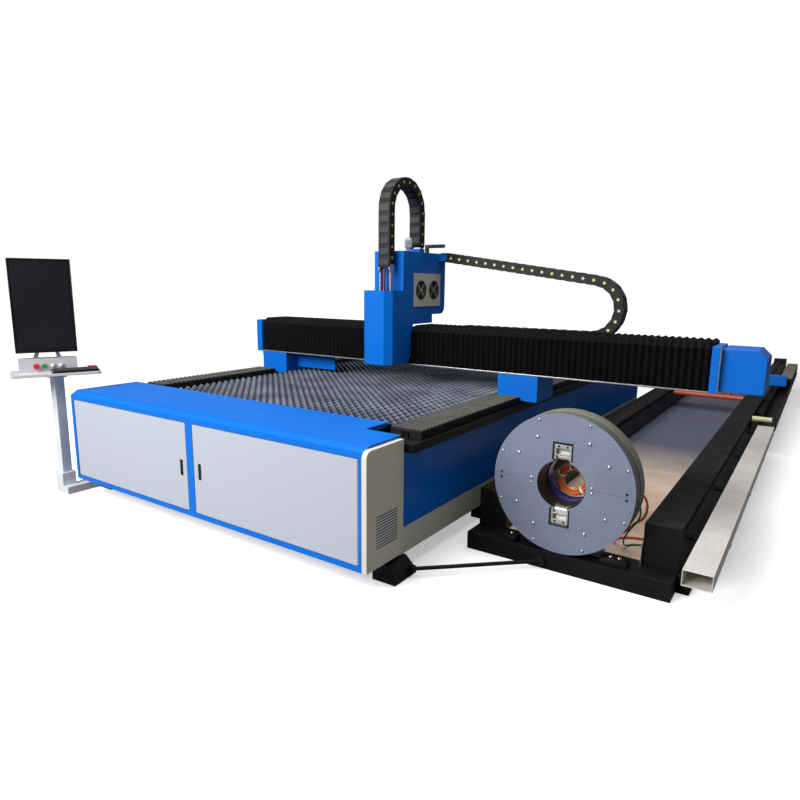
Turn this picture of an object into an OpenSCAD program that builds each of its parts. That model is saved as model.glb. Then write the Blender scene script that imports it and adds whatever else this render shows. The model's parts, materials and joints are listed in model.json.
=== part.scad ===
// Gantry laser cutter for sheet and tube: slat bed, control cabinet, console and tube station.
// Built on machine axes (right front foot of the cabinet at zero), then centred on the floor.

/* [Bed] */
// Width of the slat field
bed_w = 2000; // [1700:10:2200]
// Length of the slat field
bed_l = 4000; // [3600:50:5000]
// Height of the slat tips above the floor
bed_top = 780; // [765:5:820]
// Distance from slat to slat
slat_pitch = 60; // [50:1:90]
// Thickness of a slat
slat_t = 4; // [2:0.5:8]
// Height of a slat
slat_h = 80; // [60:1:85]
// Distance from tooth to tooth on a slat
tooth_pitch = 62.5; // [50:0.5:100]
// Height of a slat tooth
tooth_h = 16; // [8:1:24]
// Thickness of the combs that hold the slats
comb_t = 10; // [6:1:14]
// Width of the right bed beam
beam_w = 200; // [195:5:240]
// Width of the left bed beam
beam_w_left = 490; // [470:5:560]
// Height of the bed beams
beam_h = 430; // [360:5:450]

/* [Cabinet] */
// Depth of the control cabinet
cab_d = 320; // [260:5:340]
// Height of the cabinet floor above the ground
cab_bottom = 130; // [115:1:150]
// Thickness of the cabinet walls and doors
cab_wall = 20; // [18:1:26]
// Width of the frame strips round the doors
cab_frame = 30; // [25:1:50]
// Width of the mullion between the doors
mullion = 60; // [50:1:90]
// Gap round each door
door_gap = 4; // [3:0.5:6]
// Thickness of the top cover
cover_t = 30; // [24:1:40]
// Depth of the top cover
cover_d = 525; // [500:5:560]
// Depth of the slope along the front of the top cover
cover_slope = 50; // [30:1:80]
// Thickness of the greige end cover
end_t = 30; // [20:1:36]

/* [Rails] */
// Width of the pleated rail covers
pleat_w = 200; // [170:5:210]
// Distance from fold to fold on the rail covers
rail_pleat = 40; // [30:1:60]
// Width of the rail bases
base_w = 250; // [240:5:260]
// Side of the square guide rails
guide = 30; // [24:1:34]
// Running clearance of sliders on their guides
run_gap = 0.3; // [0.2:0.05:0.5]

/* [Gantry] */
// Height from the slat tips to the underside of the gantry
beam_gap = 156; // [150:1:190]
// Height of the gantry covers
gantry_h = 292; // [270:1:330]
// Depth of the gantry
gantry_d = 300; // [280:5:340]
// Reach of the gantry beyond the right side of the bed
overhang = 1230; // [1180:10:1300]
// Front of the gantry behind the front of the cabinet, at rest
gantry_at = 1700; // [1650:10:1900]
// Distance from fold to fold on the gantry covers
gantry_pleat = 42; // [36:1:60]
// Depth of the folds of the gantry covers
fold = 16; // [10:1:18]

/* [Head] */
// Width of the head housing
head_w = 264; // [240:2:300]
// Reach of the head in front of the gantry
head_d = 282; // [270:2:320]
// Bevel on the front corners of the head
head_bevel = 48; // [20:1:60]
// Height of the upper housing above the gantry
head_up = 550; // [520:5:600]
// Place of the head along the gantry, left of the bed's right side, at rest
head_at = 996; // [900:2:1100]
// Sheet thickness of the head housing
head_wall = 6; // [4:0.5:8]

/* [Drag chains] */
// Link pitch of the head chains
link = 77; // [70:1:82]
// Half height of the head chains
link_r = 33; // [28:1:34]
// Width of the head chains
link_w = 100; // [80:1:110]
// Bend radius of the vertical chain
z_bend = 205; // [195:1:215]
// Bend radius of the long gantry chain
x_bend = 196; // [190:1:205]

/* [Tube station] */
// Width of the tube station over its rails
tube_w = 1140; // [1080:10:1200]
// Clear way between the bed and the tube station
tube_gap = 130; // [110:5:200]
// Width of each tube rail
tube_rail_w = 180; // [170:5:200]
// Length of the tube station
tube_l = 9460; // [9000:10:9900]
// Height of the front beam of the tube station
tube_beam_h = 106; // [90:1:120]
// Height of the tube rails without their covers
tube_rail_h = 285; // [270:5:300]
// Offset of the tube's axis to the left of the station's middle
axis_off = 18; // [0:1:20]
// Radius of the chuck face
chuck_r = 388; // [370:1:390]
// Radius of the chuck bore
bore_r = 132.5; // [120:0.5:140]
// Thickness of the turning chuck drum
drum_t = 90; // [80:1:100]
// Width of the chuck jaws
jaw_w = 94; // [80:1:100]

/* [Console] */
// Side of the console pole
pole = 68; // [50:1:80]
// Height of the console pole
pole_h = 860; // [800:5:950]
// Turn of the console top to the operator
console_turn = 65; // [50:1:80]
// Width of the console shelf
shelf_w = 570; // [560:5:640]
// Depth of the console shelf
shelf_d = 300; // [290:5:340]
// Width of the monitor
screen_w = 390; // [360:5:420]
// Height of the monitor
screen_h = 660; // [560:5:680]

/* [Hidden] */
$fn = 48;

bright_blue = [0.04, 0.42, 0.92];
deep_blue = [0.02, 0.14, 0.42];
door_white = [0.80, 0.82, 0.86];
greige = [0.60, 0.58, 0.53];
black = [0.05, 0.05, 0.06];
steel = [0.45, 0.48, 0.54];
silver = [0.72, 0.72, 0.70];

// Bed places
comb_set = 10;
comb_drop = 12;
tab_drop = 40;
tab_l = comb_t + 2;
slat_fit = 0.25;
span = bed_w - 2 * (comb_set + comb_t);
mach_w = beam_w + span + beam_w_left;
slat_x1 = -beam_w + comb_set + comb_t;
slat_x0 = slat_x1 - bed_w;
comb_stand = slat_h + 10;
beam_z1 = bed_top - comb_stand;
beam_z0 = beam_z1 - beam_h;
field_y0 = cover_d + 5;
bed_tail = 770;
bed_y1 = field_y0 + bed_l + bed_tail;
slat_n = floor(bed_l / slat_pitch);
slat_ys = [for (i = [0 : slat_n - 1]) field_y0 + (i + 0.5) * slat_pitch];
floor_t = 6;
floor_z = beam_z0 + 60;
rib_w = 60;
rib_n = 5;
panel_t = 10;
skirt_t = 12;
skirt_z0 = 110;

// Feet
foot_l = 175;
foot_out = 60;
foot_in = 90;
foot_base = 60;
foot_neck = skirt_z0 - 4;
foot_neck_out = 10;
post_in = 80;
post_out = 20;
foot_front_y = cab_d - 130;
foot_n = 4;
foot_second_y = 1300;
foot_last_y = bed_y1 - foot_l - 40;
foot_ys = [for (i = [0 : foot_n - 1]) foot_second_y + i * (foot_last_y - foot_second_y) / (foot_n - 1)];

// Cabinet places
cab_z1 = bed_top - cover_t;
open_z0 = cab_bottom + cab_frame;
open_z1 = cab_z1 - cab_frame;
open_left = [-mach_w + cab_frame, -mach_w / 2 - mullion / 2];
open_right = [-mach_w / 2 + mullion / 2, -cab_frame];
pivot_r = 6;
pivot_fit = 0.06;
pivot_l = 30;
door_skin = 3;
latch_w = 28;
latch_h = 100;
latch_t = 8;
latch_gap = 0.5;
latch_in = 56;
latch_z = 430;
rail_notch = 230;
end_front = 15;
end_back = 15;
end_lift = 10;
end_r = 40;
vent_y = [66, 250];
vent_z = [240, 420];
vent_pitch = 15;
vent_slot = 7;
end_skin = 4;

// Rail places
rail_x_right = -45;
rail_x_left = -mach_w + 225;
base_h = 45;
base_z1 = beam_z1 + base_h;
pleat_h = 55;
pleat_deep = 14;
pleat_rest = 0.3;
bellows_y0_right = cab_d + 110;
bellows_y0_left = cover_d + 5;
end_gap = 0.5;

// Gantry places
gy = gantry_at;
flange_t = 12;
gz0 = bed_top + beam_gap + flange_t;
gz1 = gz0 + gantry_h;
gx0 = -mach_w + 170;
gx1 = overhang;
cover_in = 22;
cover_bevel = 44;
beam_y0 = gy + 60;
beam_y1 = gy + gantry_d - 10;
beam_top = gz1 - 30;
x_guide_y = beam_y0 - guide;
x_guide_zs = [gz0 + 52, gz1 - 90];
leg_lift = 21;
leg_right = [rail_x_right - 72, rail_x_right + 225];
leg_left = [gx0, rail_x_left + 235];
slider_w = 120;
cap_t = 65;
plate_t = 45;
house_w = 235;
house_cut = 47;

// Head places
hx = -head_at;
head_y0 = gy - head_d;
head_back = gy - 10;
box_z0 = gz0 + 7;
box_z1 = gz1 + 260;
up_y0 = gy - 100;
up_y1 = gy + 509;
up_z0 = gz1 + 72;
up_z1 = gz1 + head_up;
sill_y = gy + gantry_d + 18;
sill_z = gz1 + 5;
up_r = 60;
side_x = hx + head_w / 2;
fan_r = 62;
fan_ys = [gy + 142, gy + 330];
fan_z = gz1 + 264;
panel_y = [gy + 42, gy + 430];
panel_z = [gz1 + 138, gz1 + 390];
fan_pocket = 60;
fan_shaft = 8;
fan_fit = 0.06;
nozzle_y = gy - 150;
nozzle_z = bed_top + 125;
cable_seat = 10;
head_cable_r = 5;

// Chain places
link_gap = 0.8;
link_band = 8;
pin_r = 10;
pin_out = 2;
z_leg_y = gy - 167;
z_start = gz1 + 420;
z_rise = 430;
z_x = hx + 26;
z_drop = z_start + z_rise - up_z1 - link_r - 30;
z_count = floor((z_rise + PI * z_bend + z_drop) / link);
x_slope = 8.2;
x_chain_y = gy + 400;
x_start = side_x + 38;
x_start_z = up_z1 - 27;
x_run = 1250;
x_count = 37;
shelf_t = 12;
y_link = 45;
y_link_r = 22;
y_link_w = 80;
y_bend = 90;
y_chain_x = -mach_w + 50;
y_fixed = 900;
y_count = 94;
y_lead = 234;
y_run = (gy + y_lead - y_fixed + y_count * y_link - PI * y_bend) / 2;
y_low = beam_z1 + y_link_r + 0.5;

// Tube station places
tx0 = tube_gap;
tx1 = tube_gap + tube_w;
tube_x = (tx0 + tx1) / 2 - axis_off;
ty0 = 840;
ty1 = ty0 + tube_l;
end_beam_d = 190;
rail_y0 = ty0 + end_beam_d;
block_d = 35;
ledge_w = 30;
ledge_z = 100;
ledge_t = 10;
tray_t = 6;
tray_gap = 3;
tray_n = 15;
tube_pleat_h = 50;
chuck_z = tube_beam_h + chuck_r + 6;
face_t = 20;
seam = 1.2;
hub_r = 205;
hub_fit = 0.08;
house_r = chuck_r + 2;
drum_y1 = ty0 + drum_t;
house_y0 = drum_y1 + 4;
house_y1 = house_y0 + 78;
back_t = 12;
liner_r = 126;
liner_out = 150;
liner_fit = 0.1;
jaw_gap = 0.3;
jaw_y0 = ty0 + 5;
jaw_deep = 60;
jaw_in = bore_r + 4;
jaw_out = bore_r + 88;
roller_r = 17;
roller_l = 66;
duct_x = [tx1 + 75, tx1 + 205];
duct_z = [222, 300];
duct_wall = 4;
duct_y = [600, 4180];
arm_t = 12;
arm_w = 60;
arm_y0 = 1200;
arm_step = 1000;
arm_tail = 400;
guide_roller_y = 4300;
trough_y = [guide_roller_y + 60, guide_roller_y + 4560];
trough_lid_y = trough_y[0] + 2640;
trough_wall = 5;
guide_roller_r = 24;
guide_roller_z = duct_z[1] + guide_roller_r + 12;
axle_r = 6;
axle_fit = 0.06;
feed_y0 = ty0 + 4910;
feed_l = 260;
feed_lift = 60;
feed_plate = 20;
feed_r = 150;
feed_bore = 57;
feed_arm_x = duct_x[1] - 10;
feed_arm_z = [465, 575];
red_r = 26;
red_y = feed_y0 - red_r - 2;
red_z = tube_rail_h + 2;
red_in = 20;
lug_w = 24;
lug_at = 140;
rod_r = 11;
rod_z = 45;
rod_end = [tube_x - 92, ty0];

// Console places
pole_x = -mach_w - 170;
sleeve = pole + 32;
sleeve_h = 150;
arm_h = 55;
pole_cap = 8;
swivel_r = 15;
swivel_fit = 0.06;
swivel_h = 26;
boss_r = 42;
boss_h = 17;
shelf_t_top = 20;
shelf_r = 20;
shelf_z0 = pole_h + pole_cap + run_gap + boss_h;
shelf_z1 = shelf_z0 + shelf_t_top;
panel_x = -45;
panel_w = 370;
panel_d = 110;
panel_h = 95;
panel_y0 = -10;
button_z = shelf_z1 + 42;
screen_t = 34;
screen_lift = 42;
screen_pivot_z = shelf_z1 + panel_h + 140;
pin_axle = 8;
axle_half = 74;
ear_at = 64;
screen_axle_y = panel_y0 + panel_d - 40;

// Outer reach, used to centre the machine on the floor
reach = [
    (shelf_w / 2 - shelf_r) * cos(console_turn) + (shelf_d / 2 - shelf_r) * sin(console_turn) + shelf_r,
    (shelf_w / 2 - shelf_r) * sin(console_turn) + (shelf_d / 2 - shelf_r) * cos(console_turn) + shelf_r
];
mid_x = (pole_x - reach[0] + gx1 + plate_t + house_w) / 2;
mid_y = (-reach[1] + ty1) / 2;

module place() {
    translate([-mid_x, -mid_y, 0]) children();
}

module box(x, y, z) {
    translate([x[0], y[0], z[0]]) cube([x[1] - x[0], y[1] - y[0], z[1] - z[0]]);
}

// Extrude a (y, z) outline along x
module along_x(x) {
    translate([x[0], 0, 0]) rotate([90, 0, 90]) linear_extrude(x[1] - x[0]) children();
}

// Extrude an (x, z) outline along y
module along_y(y) {
    translate([0, y[1], 0]) rotate([90, 0, 0]) linear_extrude(y[1] - y[0]) children();
}

module rod_x(x, y, z, r) {
    translate([x[0], y, z]) rotate([0, 90, 0]) cylinder(r = r, h = x[1] - x[0]);
}

module rod_y(x, y, z, r) {
    translate([x, y[0], z]) rotate([-90, 0, 0]) cylinder(r = r, h = y[1] - y[0]);
}

module ring_y(y, r_in, r_out) {
    along_y(y) translate([tube_x, chuck_z]) difference() {
        circle(r = r_out, $fn = 96);
        circle(r = r_in, $fn = 96);
    }
}

// Bed

module bed_beam_right() {
    color(bright_blue) box([-beam_w, 0], [cab_d, bed_y1], [beam_z0, beam_z1]);
}

module bed_beam_left() {
    color(bright_blue) box([-mach_w, -mach_w + beam_w_left], [cab_d, bed_y1], [beam_z0, beam_z1]);
}

module bed_floor() {
    floor_x = [-beam_w - span, -beam_w];
    rib_step = (bed_y1 - cab_d - rib_w) / (rib_n - 1);
    color(steel) {
        box(floor_x, [cab_d, bed_y1], [floor_z, floor_z + floor_t]);
        box(floor_x, [bed_y1 - panel_t, bed_y1], [beam_z0, beam_z1]);
        box(floor_x, [field_y0 + bed_l, bed_y1], [beam_z1 - floor_t, beam_z1]);
        for (i = [0 : rib_n - 1])
            translate([0, cab_d + i * rib_step, 0]) box(floor_x, [0, rib_w], [beam_z0, floor_z]);
    }
}

module bed_skirts() {
    color(greige) {
        box([-skirt_t, 0], [cab_d, bed_y1], [skirt_z0, beam_z0]);
        box([-mach_w, -mach_w + skirt_t], [cab_d, bed_y1], [skirt_z0, beam_z0]);
    }
}

module foot(top) {
    along_y([0, foot_l]) polygon([
        [-foot_in, 0], [foot_out, 0], [foot_out, foot_base], [foot_neck_out, foot_neck],
        [-post_out, foot_neck], [-post_out, top], [-post_in, top], [-post_in, foot_neck],
        [-foot_in, foot_base]
    ]);
}

module bed_feet() {
    color(black) for (side = [0, 1]) translate([-side * mach_w, 0, 0]) mirror([side, 0, 0]) {
        translate([0, foot_front_y, 0]) foot(cab_bottom);
        for (y = foot_ys) translate([0, y, 0]) foot(beam_z0);
    }
}

module comb_outline() {
    notch = slat_t / 2 + slat_fit;
    top = bed_top - comb_drop;
    seat = bed_top - tab_drop;
    teeth = [for (y = slat_ys) each [[y - notch, top], [y - notch, seat], [y + notch, seat], [y + notch, top]]];
    polygon(concat(
        [[field_y0, beam_z1], [field_y0, top]], teeth,
        [[field_y0 + bed_l, top], [field_y0 + bed_l, beam_z1]]
    ));
}

module slat_combs() {
    color(black) {
        along_x([slat_x1 - comb_t, slat_x1]) comb_outline();
        along_x([slat_x0, slat_x0 + comb_t]) comb_outline();
    }
}

module slat_outline() {
    n = round(bed_w / tooth_pitch);
    step = bed_w / n;
    valley = bed_top - tooth_h;
    low = bed_top - slat_h;
    tab = bed_top - tab_drop;
    teeth = [for (i = [0 : n - 1]) each [[slat_x0 + i * step, valley], [slat_x0 + (i + 0.5) * step, bed_top]]];
    polygon(concat(teeth, [
        [slat_x1, valley], [slat_x1, tab], [slat_x1 - tab_l, tab], [slat_x1 - tab_l, low],
        [slat_x0 + tab_l, low], [slat_x0 + tab_l, tab], [slat_x0, tab]
    ]));
}

module slats() {
    color(steel) for (y = slat_ys) along_y([y - slat_t / 2, y + slat_t / 2]) slat_outline();
}

// Cabinet

module pivot(x, z) {
    translate([x, cab_wall / 2, z]) cylinder(r = pivot_r, h = pivot_l);
}

function pivot_x(open, side) = side < 0
    ? open[0] + door_gap + cab_wall / 2
    : open[1] - door_gap - cab_wall / 2;

module cabinet_shell() {
    color(bright_blue) {
        difference() {
            box([-mach_w, 0], [0, cab_d], [cab_bottom, cab_z1]);
            box([-mach_w + cab_wall, -cab_wall], [cab_wall, cab_d - cab_wall],
                [cab_bottom + cab_wall, cab_z1 - cab_wall]);
            for (open = [open_left, open_right])
                box(open, [-1, cab_wall + 1], [open_z0, open_z1]);
        }
        for (x = [pivot_x(open_left, -1), pivot_x(open_right, 1)]) {
            pivot(x, open_z0);
            pivot(x, open_z1 - pivot_l);
        }
    }
}

module cabinet_cover() {
    color(bright_blue) {
        along_x([-mach_w, -rail_notch]) polygon([
            [0, cab_z1], [cover_slope, bed_top], [cover_d, bed_top], [cover_d, cab_z1]
        ]);
        along_x([-rail_notch, 0]) polygon([
            [0, cab_z1], [cover_slope, bed_top], [cab_d, bed_top], [cab_d, cab_z1]
        ]);
    }
}

module end_outline(inset) {
    y0 = -end_front + inset;
    y1 = cab_d - end_back - inset;
    z0 = cab_bottom + end_lift + inset;
    z1 = bed_top - end_back - inset;
    r = end_r - inset;
    polygon([[y0, z0], [y0, z1 - r], [y0 + r, z1 - r], [y0 + r, z1], [y1, z1], [y1, z0]]);
    translate([y0 + r, z1 - r]) circle(r = r);
}

module end_cover() {
    color(greige) difference() {
        along_x([0, end_t]) end_outline(0);
        along_x([-1, end_t - end_skin]) end_outline(end_skin);
        for (z = [vent_z[0] : vent_pitch : vent_z[1] - vent_slot])
            box([0, end_t + 1], vent_y, [z, z + vent_slot]);
    }
}

module electrics_panel() {
    back = cab_d - cab_wall;
    drive_w = 70;
    drive_gap = 22;
    drive_d = 140;
    drive_z = [430, 640];
    rail_z = [270, 360];
    rail_d = 80;
    plate_d = 4;
    color(silver) {
        box([-mach_w + 80, -80], [back - plate_d, back], [cab_bottom + 60, cab_z1 - 60]);
        for (i = [0 : 7])
            translate([-mach_w + 300 + i * (drive_w + drive_gap), 0, 0])
                box([0, drive_w], [back - plate_d - drive_d, back - plate_d], drive_z);
        box([-mach_w + 300, -mach_w + 1100], [back - plate_d - rail_d, back - plate_d], rail_z);
        box([-1050, -350], [back - plate_d - drive_d, back - plate_d], [300, 560]);
    }
}

// A door between hinge edge (side -1 left, 1 right) and free edge
module door(open, side) {
    x = [open[0] + door_gap, open[1] - door_gap];
    z = [open_z0 + door_gap, open_z1 - door_gap];
    r = cab_wall / 2;
    axis = pivot_x(open, side);
    body = side < 0 ? [axis, x[1]] : [x[0], axis];
    pocket = side < 0 ? [axis + r + 4, x[1] - door_skin] : [x[0] + door_skin, axis - r - 4];
    latch_x = latch_centre(open, side);
    color(door_white) difference() {
        union() {
            box(body, [0, cab_wall], z);
            translate([axis, r, z[0]]) cylinder(r = r, h = z[1] - z[0]);
        }
        box(pocket, [door_skin, cab_wall + 1], [z[0] + door_skin, z[1] - door_skin]);
        for (low = [z[0] - 1, z[1] + 1 - pivot_l])
            translate([axis, r, low]) cylinder(r = pivot_r + pivot_fit, h = pivot_l);
        box([latch_x - latch_w / 2, latch_x + latch_w / 2], [-1, cab_wall],
            [latch_z - latch_h / 2, latch_z + latch_h / 2]);
    }
}

function latch_centre(open, side) = side < 0 ? open[1] - latch_in : open[0] + latch_in;

module door_left() {
    door(open_left, -1);
}

module door_right() {
    door(open_right, 1);
}

module latch(open, side) {
    x = latch_centre(open, side);
    half_w = latch_w / 2 - latch_gap;
    half_h = latch_h / 2 - latch_gap;
    color(black) box([x - half_w, x + half_w], [0, latch_t], [latch_z - half_h, latch_z + half_h]);
}

module latch_left() {
    latch(open_left, -1);
}

module latch_right() {
    latch(open_right, 1);
}

// Long rails

module rail_base(x, guide_y0) {
    box([x - base_w / 2, x + base_w / 2], [cab_d, bed_y1], [beam_z1, base_z1]);
    box([x - guide / 2, x + guide / 2], [guide_y0, bed_y1], [base_z1, base_z1 + guide]);
}

module y_rails() {
    color(black) {
        rail_base(rail_x_right, bellows_y0_right);
        rail_base(rail_x_left, bellows_y0_left);
    }
}

// Pleated cover over a guide rail, open underneath for the rail
module flat_bellows(x, w, y, z, h, deep) {
    n = max(1, round((y[1] - y[0]) / rail_pleat));
    step = (y[1] - y[0]) / n;
    folds = [for (i = [0 : n - 1]) each [[y[0] + i * step, z + h - deep], [y[0] + (i + 0.5) * step, z + h]]];
    slot = guide / 2 + 8;
    difference() {
        along_x([x - w / 2, x + w / 2])
            polygon(concat([[y[0], z + pleat_rest]], folds, [[y[1], z + h - deep], [y[1], z + pleat_rest]]));
        box([x - slot, x + slot], [y[0] - 1, y[1] + 1], [z - 1, z + guide + 3]);
    }
}

module y_bellows_front() {
    color(silver) {
        flat_bellows(rail_x_right, pleat_w, [bellows_y0_right, gy - end_gap], base_z1, pleat_h, pleat_deep);
        flat_bellows(rail_x_left, pleat_w, [bellows_y0_left, gy - end_gap], base_z1, pleat_h, pleat_deep);
    }
}

module y_bellows_rear() {
    y = [gy + gantry_d + end_gap, bed_y1 - panel_t];
    color(silver) for (x = [rail_x_right, rail_x_left]) flat_bellows(x, pleat_w, y, base_z1, pleat_h, pleat_deep);
}

// Drag chains

// One hollow link from pin p to pin q, drawn in the plane of the chain
module chain_link(p, q, r, w, band, boss) {
    l = norm(q - p);
    turn = atan2(q[1] - p[1], q[0] - p[0]);
    translate(p) rotate(turn) difference() {
        union() {
            linear_extrude(w, center = true) difference() {
                union() {
                    translate([0, -r]) square([l, 2 * r]);
                    translate([l, 0]) circle(r = r);
                }
                circle(r = r + link_gap);
            }
            translate([l, 0]) cylinder(r = boss, h = w + 2 * pin_out, center = true);
        }
        translate([l / 2, 0, 0]) cube([3 * l, 2 * (r - band), w - 2 * band], center = true);
    }
}

module chain(pins, r, w, band, boss) {
    for (i = [0 : len(pins) - 2]) chain_link(pins[i], pins[i + 1], r, w, band, boss);
}

function z_pin(s) =
    let (turn = (s - z_rise) / z_bend * 180 / PI, top = z_start + z_rise)
    s < z_rise ? [z_leg_y, z_start + s]
    : turn < 180 ? [z_leg_y + z_bend * (1 - cos(turn)), top + z_bend * sin(turn)]
    : [z_leg_y + 2 * z_bend, top - (s - z_rise - PI * z_bend)];
z_pins = [for (i = [0 : z_count]) z_pin(i * link)];

function x_pin(s) =
    let (
        turn = (s - x_run) / x_bend * 180 / PI,
        cx = x_start + x_run * cos(x_slope) - x_bend * sin(x_slope),
        cz = x_start_z - x_run * sin(x_slope) - x_bend * cos(x_slope),
        arc = x_bend * (180 - x_slope) * PI / 180
    )
    s < x_run ? [x_start + s * cos(x_slope), x_start_z - s * sin(x_slope)]
    : turn < 180 - x_slope ? [cx + x_bend * sin(x_slope + turn), cz + x_bend * cos(x_slope + turn)]
    : [cx - (s - x_run - arc), cz - x_bend];
x_pins = [for (i = [0 : x_count]) x_pin(i * link)];
x_low = x_pins[x_count][1];

function y_pin(s) =
    let (turn = (s - y_run) / y_bend * 180 / PI, back = y_fixed + y_run)
    s < y_run ? [y_fixed + s, y_low]
    : turn < 180 ? [back + y_bend * sin(turn), y_low + y_bend * (1 - cos(turn))]
    : [back - (s - y_run - PI * y_bend), y_low + 2 * y_bend];
y_pins = [for (i = [0 : y_count]) y_pin(i * y_link)];

// Stand a chain drawn in its own plane up in the (y, z) plane at x
module upright_x(x) {
    translate([x, 0, 0]) rotate([90, 0, 90]) children();
}

module z_chain() {
    color(black) upright_x(z_x) chain(z_pins, link_r, link_w, link_band, pin_r);
}

module x_chain() {
    color(black) translate([0, x_chain_y + link_w / 2, 0]) rotate([90, 0, 0])
        chain(x_pins, link_r, link_w, link_band, pin_r);
}

module y_chain() {
    color(black) upright_x(y_chain_x) chain(y_pins, y_link_r, y_link_w, link_band, pin_r / 2);
}

// Gantry

module gantry_beam() {
    shelf_top = x_low - link_r - 0.5;
    color(black) {
        box([gx0, gx1], [gy, gy + gantry_d], [gz0 - flange_t, gz0]);
        box([gx0, gx1], [beam_y0, beam_y1], [gz0, beam_top]);
        for (z = x_guide_zs) box([gx0, gx1], [x_guide_y, beam_y0], [z, z + guide]);
        box([gx0, gx1], [beam_y1, x_chain_y + link_w + 10], [shelf_top - shelf_t, shelf_top]);
    }
}

module leg(x, rail_x) {
    y = [gy, gy + gantry_d];
    slot = guide / 2 + run_gap;
    difference() {
        union() {
            box(x, y, [base_z1 + leg_lift, gz0 - flange_t]);
            box([rail_x - slider_w / 2, rail_x + slider_w / 2], y, [base_z1 + run_gap, base_z1 + leg_lift]);
        }
        box([rail_x - slot, rail_x + slot], [y[0] - 1, y[1] + 1], [base_z1 - 1, base_z1 + guide + run_gap]);
    }
}

module gantry_legs() {
    guard_x = [leg_left[1], leg_left[1] + 440];
    color(bright_blue) {
        leg(leg_right, rail_x_right);
        leg(leg_left, rail_x_left);
        box(guard_x, [gy + 150, gy + 160], [bed_top + 20, gz0 - flange_t]);
    }
}

module gantry_cap() {
    bracket_z = y_low + 2 * y_bend;
    bracket_l = 68;
    bracket_y = y_pins[y_count][0] - y_link_r - end_gap - bracket_l;
    color(bright_blue) {
        box([gx0 - cap_t, gx0], [gy - 10, gy + gantry_d + 10], [gz0 - flange_t, gz1 - 20]);
        box([y_chain_x - y_link_w / 2, gx0], [bracket_y, bracket_y + bracket_l],
            [bracket_z - y_link_r, bracket_z + y_link_r]);
        box([gx0 - cap_t, gx0], [bracket_y, bracket_y + bracket_l],
            [bracket_z - y_link_r, gz0 - flange_t]);
    }
}

module gantry_housing() {
    x = [gx1 + plate_t, gx1 + plate_t + house_w];
    z = [gz0 - 4, gz1 - 45];
    color(bright_blue) {
        box([gx1, gx1 + plate_t], [gy, gy + gantry_d], [gz0 - flange_t, gz1 - 30]);
        along_y([gy + 50, gy + gantry_d + 60]) polygon([
            [x[0], z[0]], [x[1], z[0]], [x[1], z[1] - house_cut], [x[1] - house_cut, z[1]], [x[0], z[1]]
        ]);
    }
}

// One section of the gantry cover, drawn in by d at a valley
function cover_section(x, d) = [
    [x, gy + d, gz0], [x, gy + d, gz1 - cover_bevel], [x, gy + cover_bevel, gz1 - d],
    [x, gy + gantry_d, gz1 - d], [x, gy + gantry_d, gz1 - cover_in],
    [x, gy + cover_bevel, gz1 - cover_in], [x, gy + cover_in, gz1 - cover_bevel], [x, gy + cover_in, gz0]
];

module gantry_bellows(x) {
    n = 2 * max(1, round((x[1] - x[0]) / gantry_pleat));
    step = (x[1] - x[0]) / n;
    k = 8;
    points = [for (i = [0 : n]) each cover_section(x[0] + i * step, i % 2 == 0 ? fold : 0)];
    sides = [for (i = [0 : n - 1], j = [0 : k - 1])
        [i * k + j, i * k + (j + 1) % k, (i + 1) * k + (j + 1) % k, (i + 1) * k + j]];
    first = [[for (j = [k - 1 : -1 : 0]) j]];
    last = [[for (j = [0 : k - 1]) n * k + j]];
    polyhedron(points, concat(sides, first, last));
}

module x_bellows_left() {
    color(black) gantry_bellows([gx0 + end_gap, hx - head_w / 2 - end_gap]);
}

module x_bellows_right() {
    color(black) gantry_bellows([hx + head_w / 2 + end_gap, gx1 - end_gap]);
}

// Head

function front_outline(t) = let (half = head_w / 2 - t, y0 = head_y0 + t, cut = head_bevel - 0.41 * t) [
    [hx - half, head_back], [hx - half, y0 + cut], [hx - half + cut, y0],
    [hx + half - cut, y0], [hx + half, y0 + cut], [hx + half, head_back]
];

module head_side_outline() {
    polygon([
        [head_back, box_z0 + 40], [head_back, box_z1], [up_y0, box_z1 + 20], [up_y0, up_z1], [up_y1, up_z1],
        [up_y1, up_z0 + up_r], [up_y1 - up_r, up_z0 + up_r], [up_y1 - up_r, up_z0], [sill_y, up_z0],
        [sill_y, sill_z], [gy + 40, sill_z], [gy + 40, box_z0 + 40]
    ]);
    translate([up_y1 - up_r, up_z0 + up_r]) circle(r = up_r);
}

module head_housing() {
    slot = run_gap;
    last = z_pins[z_count];
    color(bright_blue) {
        difference() {
            union() {
                along_x([hx - head_w / 2, side_x]) head_side_outline();
                translate([0, 0, box_z0]) linear_extrude(box_z1 - box_z0) difference() {
                    polygon(front_outline(0));
                    polygon(front_outline(head_wall));
                }
                box([hx - head_w / 2, side_x], [up_y0, head_back], [box_z1, box_z1 + 20]);
            }
            for (z = x_guide_zs)
                box([hx - head_w, hx + head_w], [x_guide_y - slot, beam_y0], [z - slot, z + guide + slot]);
            box([side_x - fan_pocket, side_x + 1], [panel_y[0] + 20, panel_y[1] - 20],
                [panel_z[0] + 20, panel_z[1] - 20]);
        }
        box([hx - guide / 2, hx + guide / 2], [head_back - guide, head_back], [box_z0 + 5, box_z1 - 10]);
        for (y = fan_ys) rod_x([side_x - fan_pocket, side_x - 12], y, fan_z, fan_shaft);
        box([z_x - link_w / 2, z_x + link_w / 2], [last[0] - link_r, last[0] + link_r],
            [up_z1, last[1] - link_r - end_gap]);
        along_y([x_chain_y, x_chain_y + link_w]) {
            translate([x_start, x_start_z]) circle(r = link_r);
            polygon([[side_x, x_start_z - link_r], [x_start, x_start_z - link_r],
                [x_start, x_start_z + 26], [side_x, x_start_z + 26]]);
        }
    }
}

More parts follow.
